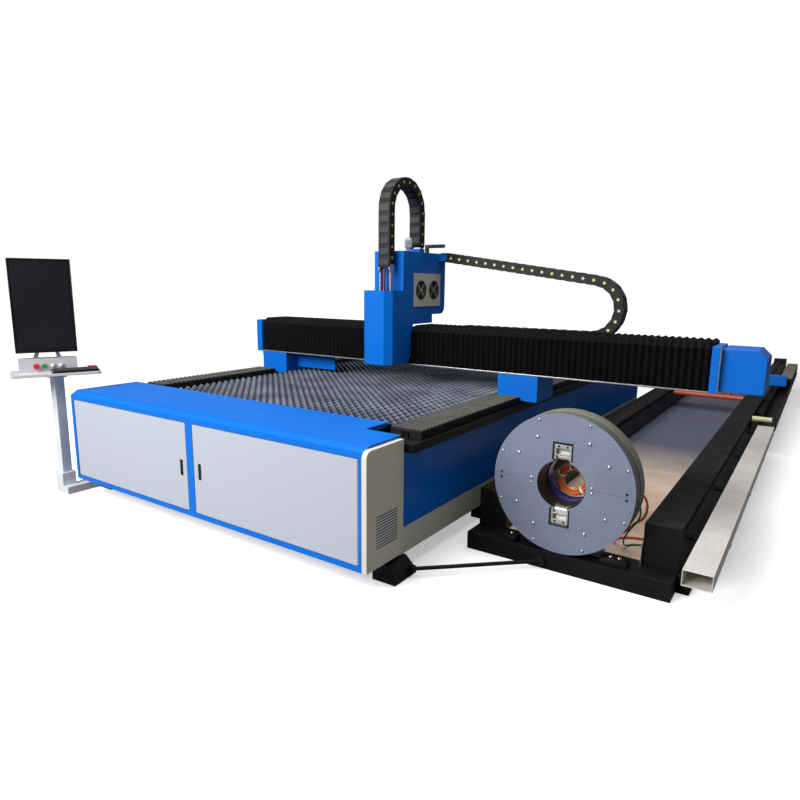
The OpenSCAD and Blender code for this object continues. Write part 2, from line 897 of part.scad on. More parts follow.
module fan_panel() {
    t = 4;
    bars = 9;
    color(greige) along_x([side_x, side_x + t]) {
        difference() {
            translate([panel_y[0], panel_z[0]]) square([panel_y[1] - panel_y[0], panel_z[1] - panel_z[0]]);
            for (y = fan_ys) translate([y, fan_z]) circle(r = fan_r + 10);
        }
        for (y = fan_ys) translate([y, fan_z]) {
            for (r = [20, 38, 56]) difference() {
                circle(r = r + 3);
                circle(r = r - 3);
            }
            for (a = [0, 90])
                rotate(a + 45) translate([-fan_r - 11, -bars / 2]) square([2 * fan_r + 22, bars]);
        }
    }
}

module fan(y) {
    blades = 7;
    hub = 24;
    x = [side_x - fan_pocket + 12, side_x - 14];
    color(black) difference() {
        union() {
            rod_x(x, y, fan_z, hub);
            for (i = [0 : blades - 1])
                translate([(x[0] + x[1]) / 2, y, fan_z]) rotate([i * 360 / blades, 0, 0])
                    translate([0, 0, hub - 3]) rotate([0, 0, 35])
                        translate([-1.5, -17, 0]) cube([3, 34, fan_r - hub]);
        }
        rod_x([x[0] - 1, x[1] + 1], y, fan_z, fan_shaft + fan_fit);
    }
}

module fan_front() {
    fan(fan_ys[0]);
}

module fan_rear() {
    fan(fan_ys[1]);
}

module gas_filter() {
    at = [hx + 60, gy + 70];
    cup_r = 28;
    bar = 26;
    bar_y = gy + 255;
    bar_z = up_z1 + 62;
    color(silver) {
        translate([at[0], at[1], up_z1]) {
            cylinder(r = 20, h = 30);
            translate([0, 0, 30]) cylinder(r = cup_r, h = 50);
            translate([0, 0, 80]) sphere(r = cup_r);
        }
        box([side_x - 40, side_x - 40 + bar], [bar_y, bar_y + bar], [up_z1, bar_z]);
        box([side_x - 40, side_x + 130], [bar_y, bar_y + bar], [bar_z - bar, bar_z]);
    }
}

module cutting_head() {
    y = head_back;
    slot = guide / 2 + run_gap;
    top = box_z1 - 40;
    body_r = 42;
    color(silver) {
        difference() {
            box([hx - 60, hx + 60], [y - guide - 24, y - run_gap], [box_z0 + 150, top]);
            box([hx - slot, hx + slot], [y - guide - run_gap, y + 1], [box_z0, top + 1]);
        }
        box([hx - 35, hx + 35], [nozzle_y, y - guide - 24], [box_z0 + 200, top - 60]);
        translate([hx, nozzle_y, nozzle_z + 105]) cylinder(r = body_r, h = top - nozzle_z - 105);
        translate([hx, nozzle_y, top - 10]) cylinder(r = body_r + 18, h = 10);
        translate([hx, nozzle_y, nozzle_z + 30]) cylinder(r1 = 16, r2 = body_r - 8, h = 75);
        translate([hx, nozzle_y, nozzle_z]) cylinder(r1 = 5, r2 = 16, h = 30);
        box([z_x - link_w / 2, z_x + link_w / 2], [z_leg_y - 20, z_leg_y + 20], [top, top + cable_seat]);
        for (x = [z_x - link_w / 2, z_x + link_w / 2 - link_band]) {
            box([x, x + link_band], [z_leg_y - 20, z_leg_y + 20], [top, z_start]);
            rod_x([x, x + link_band], z_leg_y, z_start, link_r);
        }
    }
}

// Tubes swept along hand-set routes

function unit(v) = v / norm(v);
function tangent(p, i) = unit(p[min(i + 1, len(p) - 1)] - p[max(i - 1, 0)]);
function across(t) = unit(cross(t, abs(t[2]) < 0.9 ? [0, 0, 1] : [1, 0, 0]));
function ring(p, i, r, sides) =
    let (t = tangent(p, i), a = across(t), b = cross(t, a))
    [for (k = [0 : sides - 1]) p[i] + r * (cos(k * 360 / sides) * a + sin(k * 360 / sides) * b)];

module swept(p, r, sides = 8) {
    n = len(p);
    points = [for (i = [0 : n - 1]) each ring(p, i, r, sides)];
    walls = [for (i = [0 : n - 2], k = [0 : sides - 1])
        [i * sides + k, (i + 1) * sides + k, (i + 1) * sides + (k + 1) % sides, i * sides + (k + 1) % sides]];
    first = [[for (k = [0 : sides - 1]) k]];
    last = [[for (k = [sides - 1 : -1 : 0]) (n - 1) * sides + k]];
    polyhedron(points, concat(walls, first, last));
}

module head_cables() {
    low = box_z1 - 40 + cable_seat;
    top = z_start + 20;
    for (i = [0 : 3]) {
        x = z_x - 27 + 18 * i;
        bow = i % 2 == 0 ? 10 : -10;
        color(i == 0 ? [0.8, 0.3, 0.35] : black)
            swept([[x, z_leg_y, low], [x, z_leg_y, low + 15], [x, z_leg_y + bow / 2, low + 40],
                [x, z_leg_y + bow, low + 75], [x, z_leg_y + bow, low + 110], [x, z_leg_y + bow / 2, low + 150],
                [x, z_leg_y, top]], head_cable_r);
    }
}

// Tube station

module tube_end_beams() {
    color(black) {
        box([tx0, tx1], [ty0, ty0 + end_beam_d], [0, tube_beam_h]);
        box([tx0, tx1], [ty1 - end_beam_d, ty1], [0, tube_beam_h]);
    }
}

// Box rail with guide, ledge for the tray (side 1 to the right) and end blocks
module tube_rail(x, side) {
    ledge_x = side > 0 ? [x[1], x[1] + ledge_w] : [x[0] - ledge_w, x[0]];
    y = [rail_y0, ty1 - end_beam_d];
    mid = (x[0] + x[1]) / 2;
    box(x, y, [0, tube_rail_h]);
    box(x, [rail_y0 - block_d, rail_y0], [tube_beam_h, tube_rail_h + tube_pleat_h]);
    box(x, [y[1], ty1], [tube_beam_h, tube_rail_h + tube_pleat_h]);
    box([mid - guide / 2, mid + guide / 2], y, [tube_rail_h, tube_rail_h + guide]);
    box(ledge_x, y, [ledge_z - ledge_t, ledge_z]);
}

module tube_rail_left() {
    color(black) tube_rail([tx0, tx0 + tube_rail_w], 1);
}

module tube_rail_right() {
    color(black) {
        tube_rail([tx1 - tube_rail_w, tx1], -1);
        for (y = [arm_y0 : arm_step : ty1 - arm_tail])
            box([tx1, duct_x[1]], [y, y + arm_w], [duct_z[0] - arm_t, duct_z[0]]);
        box([tx1, tx1 + arm_t], [guide_roller_y - arm_w / 2, guide_roller_y + arm_w / 2],
            [tube_rail_h - arm_w, guide_roller_z + guide_roller_r]);
        rod_x([tx1 + arm_t, duct_x[1] - 20], guide_roller_y, guide_roller_z, axle_r);
    }
}

module tube_bellows() {
    y = [rail_y0 + end_gap, feed_y0 - end_gap];
    color(black) for (x = [tx0 + tube_rail_w / 2, tx1 - tube_rail_w / 2])
        flat_bellows(x, tube_rail_w, y, tube_rail_h, tube_pleat_h, pleat_deep);
}

module tray_plates() {
    x = [tx0 + tube_rail_w + 1, tx1 - tube_rail_w - 1];
    step = (ty1 - end_beam_d - rail_y0) / tray_n;
    color(greige) for (i = [0 : tray_n - 1])
        translate([0, rail_y0 + i * step, 0]) box(x, [0, step - tray_gap], [ledge_z, ledge_z + tray_t]);
}

// Red bumper bar, hung on two lugs under the feed carriage
module red_tube() {
    x = [tx0 + tube_rail_w + red_in, tx1 - tube_rail_w - red_in];
    color([0.80, 0.22, 0.12]) {
        rod_x(x, red_y, red_z, red_r);
        for (lug_x = [x[0] + lug_at, x[1] - lug_at - lug_w])
            box([lug_x, lug_x + lug_w], [red_y, feed_y0 + arm_w], [red_z, tube_rail_h + feed_lift]);
    }
}

module tie_rod() {
    foot_at = [foot_out, foot_front_y + foot_l - 25];
    tab = 20;
    a = [foot_at[0] + tab / 2, foot_at[1]];
    b = [rod_end[0], rod_end[1] - tab / 2];
    l = norm(b - a);
    color(black) {
        translate([a[0], a[1], rod_z]) rotate([0, 0, atan2(b[1] - a[1], b[0] - a[0])])
            rotate([0, 90, 0]) cylinder(r = rod_r, h = l);
        box([foot_at[0], foot_at[0] + tab], [foot_at[1] - 20, foot_at[1] + 20], [20, foot_base]);
        rod_y(b[0], [rod_end[1] - tab, rod_end[1]], rod_z, 30);
    }
}

module cable_duct() {
    color(silver) along_y(duct_y) difference() {
        translate([duct_x[0], duct_z[0]]) square([duct_x[1] - duct_x[0], duct_z[1] - duct_z[0]]);
        translate([duct_x[0] + duct_wall, duct_z[0] + duct_wall])
            square([duct_x[1] - duct_x[0] - 2 * duct_wall, duct_z[1] - duct_z[0] - 2 * duct_wall]);
    }
}

// Trough of the feed carriage's chain: an open channel, then a covered one
module chain_trough() {
    w = duct_x[1] - duct_x[0];
    top = duct_z[1] + 40;
    lid = top + 65;
    color(black) translate([duct_x[0], 0, duct_z[0]]) {
        along_y([trough_y[0], trough_lid_y]) difference() {
            square([w, top - duct_z[0]]);
            translate([trough_wall, trough_wall]) square([w - 2 * trough_wall, lid]);
        }
        along_y([trough_lid_y, trough_y[1]]) difference() {
            square([w, lid - duct_z[0]]);
            translate([trough_wall, trough_wall])
                square([w - 2 * trough_wall, lid - duct_z[0] - 2 * trough_wall]);
        }
    }
}

module chain_roller() {
    x = [tx1 + arm_t + run_gap, duct_x[1] - 30];
    color([0.85, 0.86, 0.62]) difference() {
        rod_x(x, guide_roller_y, guide_roller_z, guide_roller_r);
        rod_x([x[0] - 1, x[1] + 1], guide_roller_y, guide_roller_z, axle_r + axle_fit);
    }
}

// Chuck

module chuck_housing() {
    foot_x = [tube_x - 210, tube_x + 210];
    color(greige) {
        difference() {
            union() {
                rod_y(tube_x, [house_y0, house_y1], chuck_z, house_r);
                box(foot_x, [house_y0, house_y1], [tube_beam_h, chuck_z - hub_r]);
            }
            rod_y(tube_x, [house_y0 - 1, house_y1 + 1], chuck_z, hub_r);
        }
        ring_y([house_y1, house_y1 + back_t], liner_out, house_r - 20);
    }
}

module chuck_liner() {
    y0 = house_y1 - 22;
    y1 = house_y1 + back_t + 36;
    color(deep_blue) {
        ring_y([y0, y1], liner_r, liner_out - liner_fit);
        ring_y([house_y1 + back_t, house_y1 + back_t + 8], liner_out - 5, liner_out + 18);
    }
}

module jaw_slot(side) {
    half = jaw_w / 2 + jaw_gap;
    translate([tube_x, 0, chuck_z]) mirror([0, 0, side])
        box([-half, half], [ty0 - 1, jaw_y0 + jaw_deep + jaw_gap], [bore_r / 2, jaw_out + 5]);
}

module chuck_rotor() {
    color([0.58, 0.62, 0.70]) difference() {
        union() {
            ring_y([ty0, ty0 + face_t], bore_r, chuck_r);
            ring_y([ty0 + face_t, drum_y1], bore_r, chuck_r - 3);
            ring_y([drum_y1, house_y1 - 28], bore_r, hub_r - hub_fit);
        }
        for (side = [0, 1]) jaw_slot(side);
        box([tube_x - chuck_r - 1, tube_x + chuck_r + 1], [ty0 - 1, ty0 + face_t / 2],
            [chuck_z - seam / 2, chuck_z + seam / 2]);
    }
}

module jaw(side) {
    half = jaw_w / 2;
    window = [jaw_in + 30, jaw_out - 22];
    color(silver) translate([tube_x, 0, chuck_z]) mirror([0, 0, side]) {
        difference() {
            box([-half, half], [jaw_y0, jaw_y0 + jaw_deep], [jaw_in, jaw_out]);
            box([-roller_l / 2 - 4, roller_l / 2 + 4], [jaw_y0 - 1, jaw_y0 + jaw_deep / 2], window);
            box([-roller_l / 2 - 4, roller_l / 2 + 4], [jaw_y0 - 1, jaw_y0 + jaw_deep + 1],
                [jaw_in - 1, jaw_in + 24]);
        }
        rod_x([-half + 2, half - 2], jaw_y0 + jaw_deep / 2, jaw_in + 12, 6);
        rod_x([-roller_l / 2, roller_l / 2], jaw_y0 + jaw_deep / 2, jaw_in + 12, roller_r);
    }
}

module jaw_top() {
    jaw(0);
}

module jaw_bottom() {
    jaw(1);
}

// Cables behind the chuck: the coil lies in the liner, the ends run down to the tray
coil_r = 74;
coil_t = 26;
coil_y = house_y1 + back_t + 34;
coil_z = chuck_z - liner_r + coil_r + coil_t + 0.4;
tray_top = ledge_z + tray_t;
tray_x = tx1 - tube_rail_w;
function by_chuck(p) = [tube_x, house_y1, chuck_z] + p;
function on_tray(p) = [tray_x, house_y1, tray_top] + p;
orange_r = 7;
orange_high = [
    [0, 60, -100], [30, 64, -99], [60, 74, -95], [95, 90, -88], [130, 106, -77], [168, 118, -65],
    [208, 126, -55], [252, 130, -48], [300, 128, -45], [350, 123, -60], [380, 116, -95], [387, 110, -140],
    [375, 106, -185]
];
orange_low = [
    [-80, 106, 160], [-120, 113, 110], [-160, 128, 70], [-190, 153, 40], [-200, 193, 16], [-185, 238, 9],
    [-145, 273, 8], [-100, 293, 8], [-55, 300, 8], [-20, 303, 8], [0, 303, 8]
];
orange_route = concat([for (p = orange_high) by_chuck(p)], [for (p = orange_low) on_tray(p)]);
green_r = 5;
green_high = [
    [190, back_t, -30], [190, 38, -30], [200, 63, -38], [232, 78, -46], [275, 84, -56], [320, 83, -74],
    [350, 80, -105], [362, 78, -148], [355, 78, -195]
];
green_low = [
    [-80, 80, 155], [-112, 86, 98], [-128, 100, 50], [-128, 128, 18], [-115, 163, 7], [-90, 193, 6],
    [-55, 210, 6], [-20, 216, 6], [0, 216, 6]
];
green_route = concat([for (p = green_high) by_chuck(p)], [for (p = green_low) on_tray(p)]);

module cable_orange() {
    color([0.90, 0.42, 0.12]) {
        translate([tube_x, coil_y, coil_z]) rotate([90, 0, 0])
            rotate_extrude($fn = 64) translate([coil_r, 0]) circle(r = coil_t);
        swept(orange_route, orange_r);
    }
}

module cable_green() {
    color([0.15, 0.45, 0.22]) swept(green_route, green_r);
}

// Feed carriage that pushes the tube

module feed_carriage() {
    y = [feed_y0, feed_y0 + feed_l];
    z = tube_rail_h;
    plate_z = [z + feed_lift, z + feed_lift + feed_plate];
    slot = guide / 2 + run_gap;
    color(bright_blue) difference() {
        union() {
            box([tx0, tx1], y, plate_z);
            for (x = [tx0 + tube_rail_w / 2, tx1 - tube_rail_w / 2])
                box([x - slider_w / 2, x + slider_w / 2], y, [z + run_gap, plate_z[0]]);
            box([tube_x - feed_r - 20, tube_x + feed_r + 20], [y[0] + 60, y[1]], [plate_z[1], chuck_z]);
            box([tx1 - slider_w, tx1], [y[0], y[0] + slider_w], [plate_z[1], feed_arm_z[1]]);
            box([tx1, feed_arm_x], [y[0], y[0] + slider_w], feed_arm_z);
            rod_y(tube_x, [y[0] + 60, y[1]], chuck_z, feed_r + 20);
        }
        for (x = [tx0 + tube_rail_w / 2, tx1 - tube_rail_w / 2])
            box([x - slot, x + slot], [y[0] - 1, y[1] + 1], [z - 1, z + guide + run_gap]);
        rod_y(tube_x, [y[0] + 59, y[1] - 40], chuck_z, feed_r * 0.6);
    }
}

module feed_chuck() {
    y = [feed_y0, feed_y0 + 58];
    jaws = 4;
    color(silver) {
        difference() {
            union() {
                rod_y(tube_x, [y[0] + 20, y[1]], chuck_z, feed_r - 22);
                rod_y(tube_x, [y[1], feed_y0 + feed_l - 42], chuck_z, feed_r * 0.6 - hub_fit);
            }
            rod_y(tube_x, [y[0] - 1, feed_y0 + feed_l], chuck_z, feed_bore);
        }
        for (i = [0 : jaws - 1])
            translate([tube_x, 0, chuck_z]) rotate([0, i * 360 / jaws, 0])
                box([-18, 18], [y[0], y[0] + 20], [feed_r * 0.4, feed_r - 30]);
    }
}

// Console

module console_stand() {
    foot_x = -mach_w - foot_out;
    half = sleeve / 2;
    color(silver) {
        box([pole_x - half, foot_x], [-half, half], [0, arm_h]);
        box([foot_x - sleeve, foot_x], [-half, foot_front_y + foot_l], [0, arm_h]);
        box([pole_x - half, pole_x + half], [-half, half], [0, sleeve_h]);
        box([pole_x - pole / 2, pole_x + pole / 2], [-pole / 2, pole / 2], [arm_h, pole_h]);
        box([pole_x - half, pole_x + half], [-half, half], [pole_h, pole_h + pole_cap]);
        translate([pole_x, 0, pole_h]) cylinder(r = swivel_r, h = pole_cap + swivel_h - 2);
    }
}

// Turn the console top about the pole, x to the operator's right and y away from the operator
module console_top() {
    translate([pole_x, 0, 0]) rotate([0, 0, console_turn]) children();
}

module console_shelf() {
    color(door_white) console_top() difference() {
        union() {
            translate([0, 0, shelf_z0]) linear_extrude(shelf_t_top) {
                square([shelf_w, shelf_d - 2 * shelf_r], center = true);
                square([shelf_w - 2 * shelf_r, shelf_d], center = true);
                for (x = [-1, 1], y = [-1, 1])
                    translate([x * (shelf_w / 2 - shelf_r), y * (shelf_d / 2 - shelf_r)]) circle(r = shelf_r);
            }
            translate([0, 0, shelf_z0 - boss_h]) cylinder(r = boss_r, h = boss_h);
        }
        translate([0, 0, shelf_z0 - boss_h - 1]) cylinder(r = swivel_r + swivel_fit, h = swivel_h + 1);
    }
}

button_xs = [-175, -125, -72, -20];
button_r = 16;
button_fit = 0.3;

module control_box() {
    x = [panel_x - panel_w / 2, panel_x + panel_w / 2];
    y = [panel_y0, panel_y0 + panel_d];
    z = [shelf_z1, shelf_z1 + panel_h];
    post_w = 16;
    color(door_white) console_top() {
        difference() {
            box(x, y, z);
            for (i = [0, 1])
                rod_y(panel_x + button_xs[i] + 100, [y[0] - 1, y[0] + 40], button_z, button_r * 0.6 + button_fit);
        }
        for (i = [2, 3]) rod_y(panel_x + button_xs[i] + 100, [y[0] - 8, y[0]], button_z, button_r);
        for (side = [-1, 1])
            along_y([y[1] - 60, y[1] - 20]) polygon([
                [panel_x + side * 90, z[1]], [panel_x + side * 60, z[1]],
                [panel_x + side * (30 - post_w / 2), screen_pivot_z + 14],
                [panel_x + side * (30 + post_w / 2), screen_pivot_z + 14]
            ]);
        rod_x([panel_x - axle_half, panel_x + axle_half], screen_axle_y, screen_pivot_z, pin_axle);
    }
}

module push_button(x, cap_r, cap_l) {
    console_top() {
        rod_y(panel_x + x + 100, [panel_y0 - 6 - cap_l, panel_y0 - 6], button_z, cap_r);
        rod_y(panel_x + x + 100, [panel_y0 - 6, panel_y0 + 34], button_z, button_r * 0.6);
    }
}

module estop() {
    color([0.85, 0.10, 0.10]) push_button(button_xs[0], 20, 16);
}

module start_button() {
    color([0.10, 0.55, 0.30]) push_button(button_xs[1], 17, 8);
}

module monitor() {
    back = screen_axle_y - 26;
    ear = 10;
    x0 = panel_x - screen_w / 2;
    z0 = shelf_z1 + panel_h + screen_lift;
    color(black) console_top() difference() {
        union() {
            box([x0, x0 + screen_w], [back - screen_t, back], [z0, z0 + screen_h]);
            for (side = [-1, 1])
                translate([panel_x + side * ear_at, 0, 0])
                    box([-ear / 2, ear / 2], [back, back + 42], [screen_pivot_z - 20, screen_pivot_z + 20]);
        }
        rod_x([panel_x - ear_at - ear, panel_x + ear_at + ear], screen_axle_y, screen_pivot_z,
            pin_axle + swivel_fit);
    }
}

module keyboard() {
    w = 300;
    d = 110;
    h = 22;
    color(black) console_top() {
        translate([120, -82, shelf_z1]) rotate([0, 0, 4])
            along_x([-w / 2, w / 2]) polygon([[-d / 2, 0], [d / 2, 0], [d / 2, h], [-d / 2, h - 10]]);
        translate([shelf_w / 2 - 45, 30, shelf_z1]) box([-30, 30], [-32, 32], [0, 18]);
    }
}

place() bed_beam_right();
place() bed_beam_left();
place() bed_floor();
place() bed_skirts();
place() bed_feet();
place() slat_combs();
place() slats();
place() cabinet_shell();
place() cabinet_cover();
place() end_cover();
place() electrics_panel();
place() door_left();
place() door_right();
place() latch_left();
place() latch_right();
place() y_rails();
place() y_bellows_front();
place() y_bellows_rear();
place() y_chain();
place() gantry_beam();
place() gantry_legs();
place() gantry_cap();
place() gantry_housing();
place() x_bellows_left();
place() x_bellows_right();
place() x_chain();
place() head_housing();
place() fan_panel();
place() fan_front();
place() fan_rear();
place() z_chain();
place() gas_filter();
place() cutting_head();
place() head_cables();
place() tube_end_beams();
place() tube_rail_left();
place() tube_rail_right();
place() tube_bellows();
place() tray_plates();
place() red_tube();
place() tie_rod();
place() cable_duct();
place() chain_trough();
place() chain_roller();
place() chuck_housing();
place() chuck_liner();
place() chuck_rotor();
place() jaw_top();
place() jaw_bottom();
place() cable_orange();
place() cable_green();
place() feed_carriage();
place() feed_chuck();
place() console_stand();
place() console_shelf();
place() control_box();
place() estop();
place() start_button();
place() monitor();
place() keyboard();
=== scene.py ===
"""Looks of a gantry laser cutter for sheet and tube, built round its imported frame."""

import json
import math

import bmesh
import bpy
from mathutils import Matrix, Vector


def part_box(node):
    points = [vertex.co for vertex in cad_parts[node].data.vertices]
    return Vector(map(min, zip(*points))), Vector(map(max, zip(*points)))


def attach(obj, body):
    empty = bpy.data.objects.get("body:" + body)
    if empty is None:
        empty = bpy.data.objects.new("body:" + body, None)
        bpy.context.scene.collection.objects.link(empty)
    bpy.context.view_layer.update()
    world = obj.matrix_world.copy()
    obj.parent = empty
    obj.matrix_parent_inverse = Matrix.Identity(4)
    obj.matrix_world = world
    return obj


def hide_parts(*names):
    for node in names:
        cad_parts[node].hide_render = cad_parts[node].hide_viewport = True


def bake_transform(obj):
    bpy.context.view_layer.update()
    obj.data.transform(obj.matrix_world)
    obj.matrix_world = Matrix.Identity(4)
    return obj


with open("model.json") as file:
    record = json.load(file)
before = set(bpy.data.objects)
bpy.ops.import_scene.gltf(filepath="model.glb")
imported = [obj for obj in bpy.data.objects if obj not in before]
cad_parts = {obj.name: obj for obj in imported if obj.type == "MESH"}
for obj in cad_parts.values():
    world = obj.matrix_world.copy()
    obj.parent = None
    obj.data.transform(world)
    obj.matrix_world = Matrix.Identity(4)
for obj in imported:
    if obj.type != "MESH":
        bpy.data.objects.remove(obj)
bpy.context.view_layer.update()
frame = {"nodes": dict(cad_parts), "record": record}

# Machine axes: zero on the floor under the cabinet's right front corner, in millimetres
ZERO_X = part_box("bed_beam_right")[1].x
ZERO_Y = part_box("cabinet_shell")[0].y
X, Y, Z = range(3)


def at(x, y, z):
    """A point on the machine axes, in the row frame."""
    return Vector((x / 1000 + ZERO_X, y / 1000 + ZERO_Y, z / 1000))


def show(name, data):
    """Put a mesh, curve, lamp or camera in the scene."""
    shown = bpy.data.objects.new(name, data)
    bpy.context.collection.objects.link(shown)
    return shown


# Camera, at the place and angle of the photograph

YAW, PITCH, ROLL = 0.5999066, 0.1860084, 0.0089123
FOCAL_PX, FRAME_PX, SENSOR_MM = 617.207, 800, 36
CAMERA_AT = (1753.63, -2256.3, 1550)
FAR_CLIP = 200


def set_camera():
    forward = Vector((
        -math.sin(YAW) * math.cos(PITCH), math.cos(YAW) * math.cos(PITCH), -math.sin(PITCH)
    ))
    level = Vector((math.cos(YAW), math.sin(YAW), 0))
    upright = level.cross(forward)
    right = math.cos(ROLL) * level + math.sin(ROLL) * upright
    up = -math.sin(ROLL) * level + math.cos(ROLL) * upright
    lens = bpy.data.cameras.new("camera")
    lens.sensor_width = SENSOR_MM
    lens.lens = SENSOR_MM * FOCAL_PX / FRAME_PX
    lens.clip_end = FAR_CLIP
    camera = show("camera", lens)
    turn = Matrix((right, up, -forward)).transposed().to_4x4()
    camera.matrix_world = Matrix.Translation(at(*CAMERA_AT)) @ turn
    bpy.context.scene.camera = camera


set_camera()


# Node groups shared by the finishes


def new_group(name, inputs, outputs):
    group = bpy.data.node_groups.new(name, "ShaderNodeTree")
    for label, kind, value in inputs:
        socket = group.interface.new_socket(label, in_out="INPUT", socket_type=kind)
        socket.default_value = value
    for label, kind in outputs:
        group.interface.new_socket(label, in_out="OUTPUT", socket_type=kind)
    return group, group.nodes.new("NodeGroupInput"), group.nodes.new("NodeGroupOutput")


def add(tree, kind, links=None, **settings):
    """Add a node, set its properties and values, and link its inputs."""
    node = tree.nodes.new(kind)
    for key, value in settings.items():
        setattr(node, key, value)
    for key, source in (links or {}).items():
        if hasattr(source, "is_output"):
            tree.links.new(source, node.inputs[key])
        else:
            node.inputs[key].default_value = source
    return node


# Colour sockets of a Mix node
MIX_UNDER, MIX_OVER, MIX_RESULT = 6, 7, 2


def mix_color(tree, share, under, over):
    """A colour on the way from one colour to another."""
    links = {"Factor": share, MIX_UNDER: under, MIX_OVER: over}
    return add(tree, "ShaderNodeMix", links, data_type="RGBA").outputs[MIX_RESULT]


def reckon(tree, operation, *values):
    """What a Math node makes of its values."""
    return add(tree, "ShaderNodeMath", dict(enumerate(values)), operation=operation).outputs[0]


def reckon_vector(tree, operation, *values, result="Vector"):
    """What a Vector Math node makes of its values."""
    links = dict(enumerate(values))
    return add(tree, "ShaderNodeVectorMath", links, operation=operation).outputs[result]


def ramp(tree, value, start, end, low=0.0, high=1.0):
    """A value that goes from low at start to high at end."""
    links = {"Value": value, "From Min": start, "From Max": end, "To Min": low, "To Max": high}
    return add(tree, "ShaderNodeMapRange", links).outputs[0]


def noise(tree, spot, scale, detail):
    links = {"Vector": spot, "Scale": scale, "Detail": detail}
    return add(tree, "ShaderNodeTexNoise", links).outputs["Fac"]


def spot_of(tree):
    return add(tree, "ShaderNodeTexCoord").outputs["Object"]


def axis_of(tree, axis):
    """The place along one axis of the row frame."""
    return add(tree, "ShaderNodeSeparateXYZ", {"Vector": spot_of(tree)}).outputs[axis]


SPECK_SCALE = 160.0
CLOUD_LOW, CLOUD_HIGH = 0.16, 0.36


def make_mottle():
    """Cloudy tone and rubbed patches on paint, cast or plastic."""
    group, took, gave = new_group(
        "mottle",
        [
            ("Color", "NodeSocketColor", (0.5, 0.5, 0.5, 1)),
            ("Dark", "NodeSocketColor", (0.4, 0.4, 0.4, 1)),
            ("Size", "NodeSocketFloat", 3.0),
            ("Amount", "NodeSocketFloat", 0.3),
            ("Rough", "NodeSocketFloat", 0.4),
            ("Rough Swing", "NodeSocketFloat", 0.1),
        ],
        [("Color", "NodeSocketColor"), ("Roughness", "NodeSocketFloat")],
    )
    spot = spot_of(group)
    cloud = noise(group, spot, took.outputs["Size"], detail=5.0)
    speck = noise(group, spot, SPECK_SCALE, detail=2.0)
    spread = ramp(group, reckon(group, "MULTIPLY", cloud, speck), CLOUD_LOW, CLOUD_HIGH)
    share = reckon(group, "MULTIPLY", spread, took.outputs["Amount"])
    tint = mix_color(group, share, took.outputs["Color"], took.outputs["Dark"])
    swing = took.outputs["Rough Swing"]
    rough = reckon(group, "MULTIPLY_ADD", spread, swing, took.outputs["Rough"])
    group.links.new(tint, gave.inputs["Color"])
    group.links.new(rough, gave.inputs["Roughness"])
    return group


def make_peel():
    """Fine orange-peel height of powder coat and moulded plastic."""
    group, took, gave = new_group(
        "peel", [("Size", "NodeSocketFloat", 300.0)], [("Height", "NodeSocketFloat")]
    )
    fine = noise(group, spot_of(group), took.outputs["Size"], detail=2.0)
    group.links.new(fine, gave.inputs["Height"])
    return group


GRAIN_SCALE, PATCH_SCALE = 60.0, 4.0
GRAIN_LOW, GRAIN_HIGH, GRAIN_SWING = 0.12, 0.4, 0.15


def make_brushed():
    """Streaks along one axis: Stretch is small along the grain."""
    group, took, gave = new_group(
        "brushed",
        [
            ("Stretch", "NodeSocketVector", (1.0, 1.0, 1.0)),
            ("Color", "NodeSocketColor", (0.6, 0.6, 0.6, 1)),
            ("Dark", "NodeSocketColor", (0.4, 0.4, 0.4, 1)),
            ("Rough", "NodeSocketFloat", 0.3),
        ],
        [
            ("Color", "NodeSocketColor"),
            ("Roughness", "NodeSocketFloat"),
            ("Height", "NodeSocketFloat"),
        ],
    )
    spot = spot_of(group)
    pulled = reckon_vector(group, "MULTIPLY", spot, took.outputs["Stretch"])
    grain = noise(group, pulled, GRAIN_SCALE, detail=4.0)
    patch = noise(group, spot, PATCH_SCALE, detail=3.0)
    spread = ramp(group, reckon(group, "MULTIPLY", grain, patch), GRAIN_LOW, GRAIN_HIGH)
    tint = mix_color(group, spread, took.outputs["Dark"], took.outputs["Color"])
    rough = reckon(group, "MULTIPLY_ADD", grain, GRAIN_SWING, took.outputs["Rough"])
    group.links.new(tint, gave.inputs["Color"])
    group.links.new(rough, gave.inputs["Roughness"])
    group.links.new(grain, gave.inputs["Height"])
    return group


MOTTLE = make_mottle()
PEEL = make_peel()
BRUSHED = make_brushed()


def new_finish(name, **values):
    """A material with a Principled shader and the given plain socket values."""
    material = bpy.data.materials.new(name)
    material.use_nodes = True
    shader = material.node_tree.nodes["Principled BSDF"]
    for key, value in values.items():
        shader.inputs[key.replace("_", " ")].default_value = value
    return material, material.node_tree, shader


def place_group(tree, group, **values):
    node = add(tree, "ShaderNodeGroup", node_tree=group)
    for key, value in values.items():
        node.inputs[key.replace("_", " ")].default_value = value
    return node


def bump(tree, shader, height, strength, depth):
    links = {"Height": height, "Strength": strength, "Distance": depth}
    node = add(tree, "ShaderNodeBump", links)
    tree.links.new(node.outputs["Normal"], shader.inputs["Normal"])


def peel(tree, shader, size, strength, depth):
    """Raise a fine peel over a finish."""
    skin = place_group(tree, PEEL, Size=size)
    bump(tree, shader, skin.outputs["Height"], strength, depth)


def mottle(tree, color, dark, size, amount, rough):
    return place_group(
        tree, MOTTLE, Color=(*color, 1), Dark=(*dark, 1), Size=size, Amount=amount, Rough=rough
    )


def coat_with(tree, shader, color, rough):
    tree.links.new(color, shader.inputs["Base Color"])
    tree.links.new(rough, shader.inputs["Roughness"])


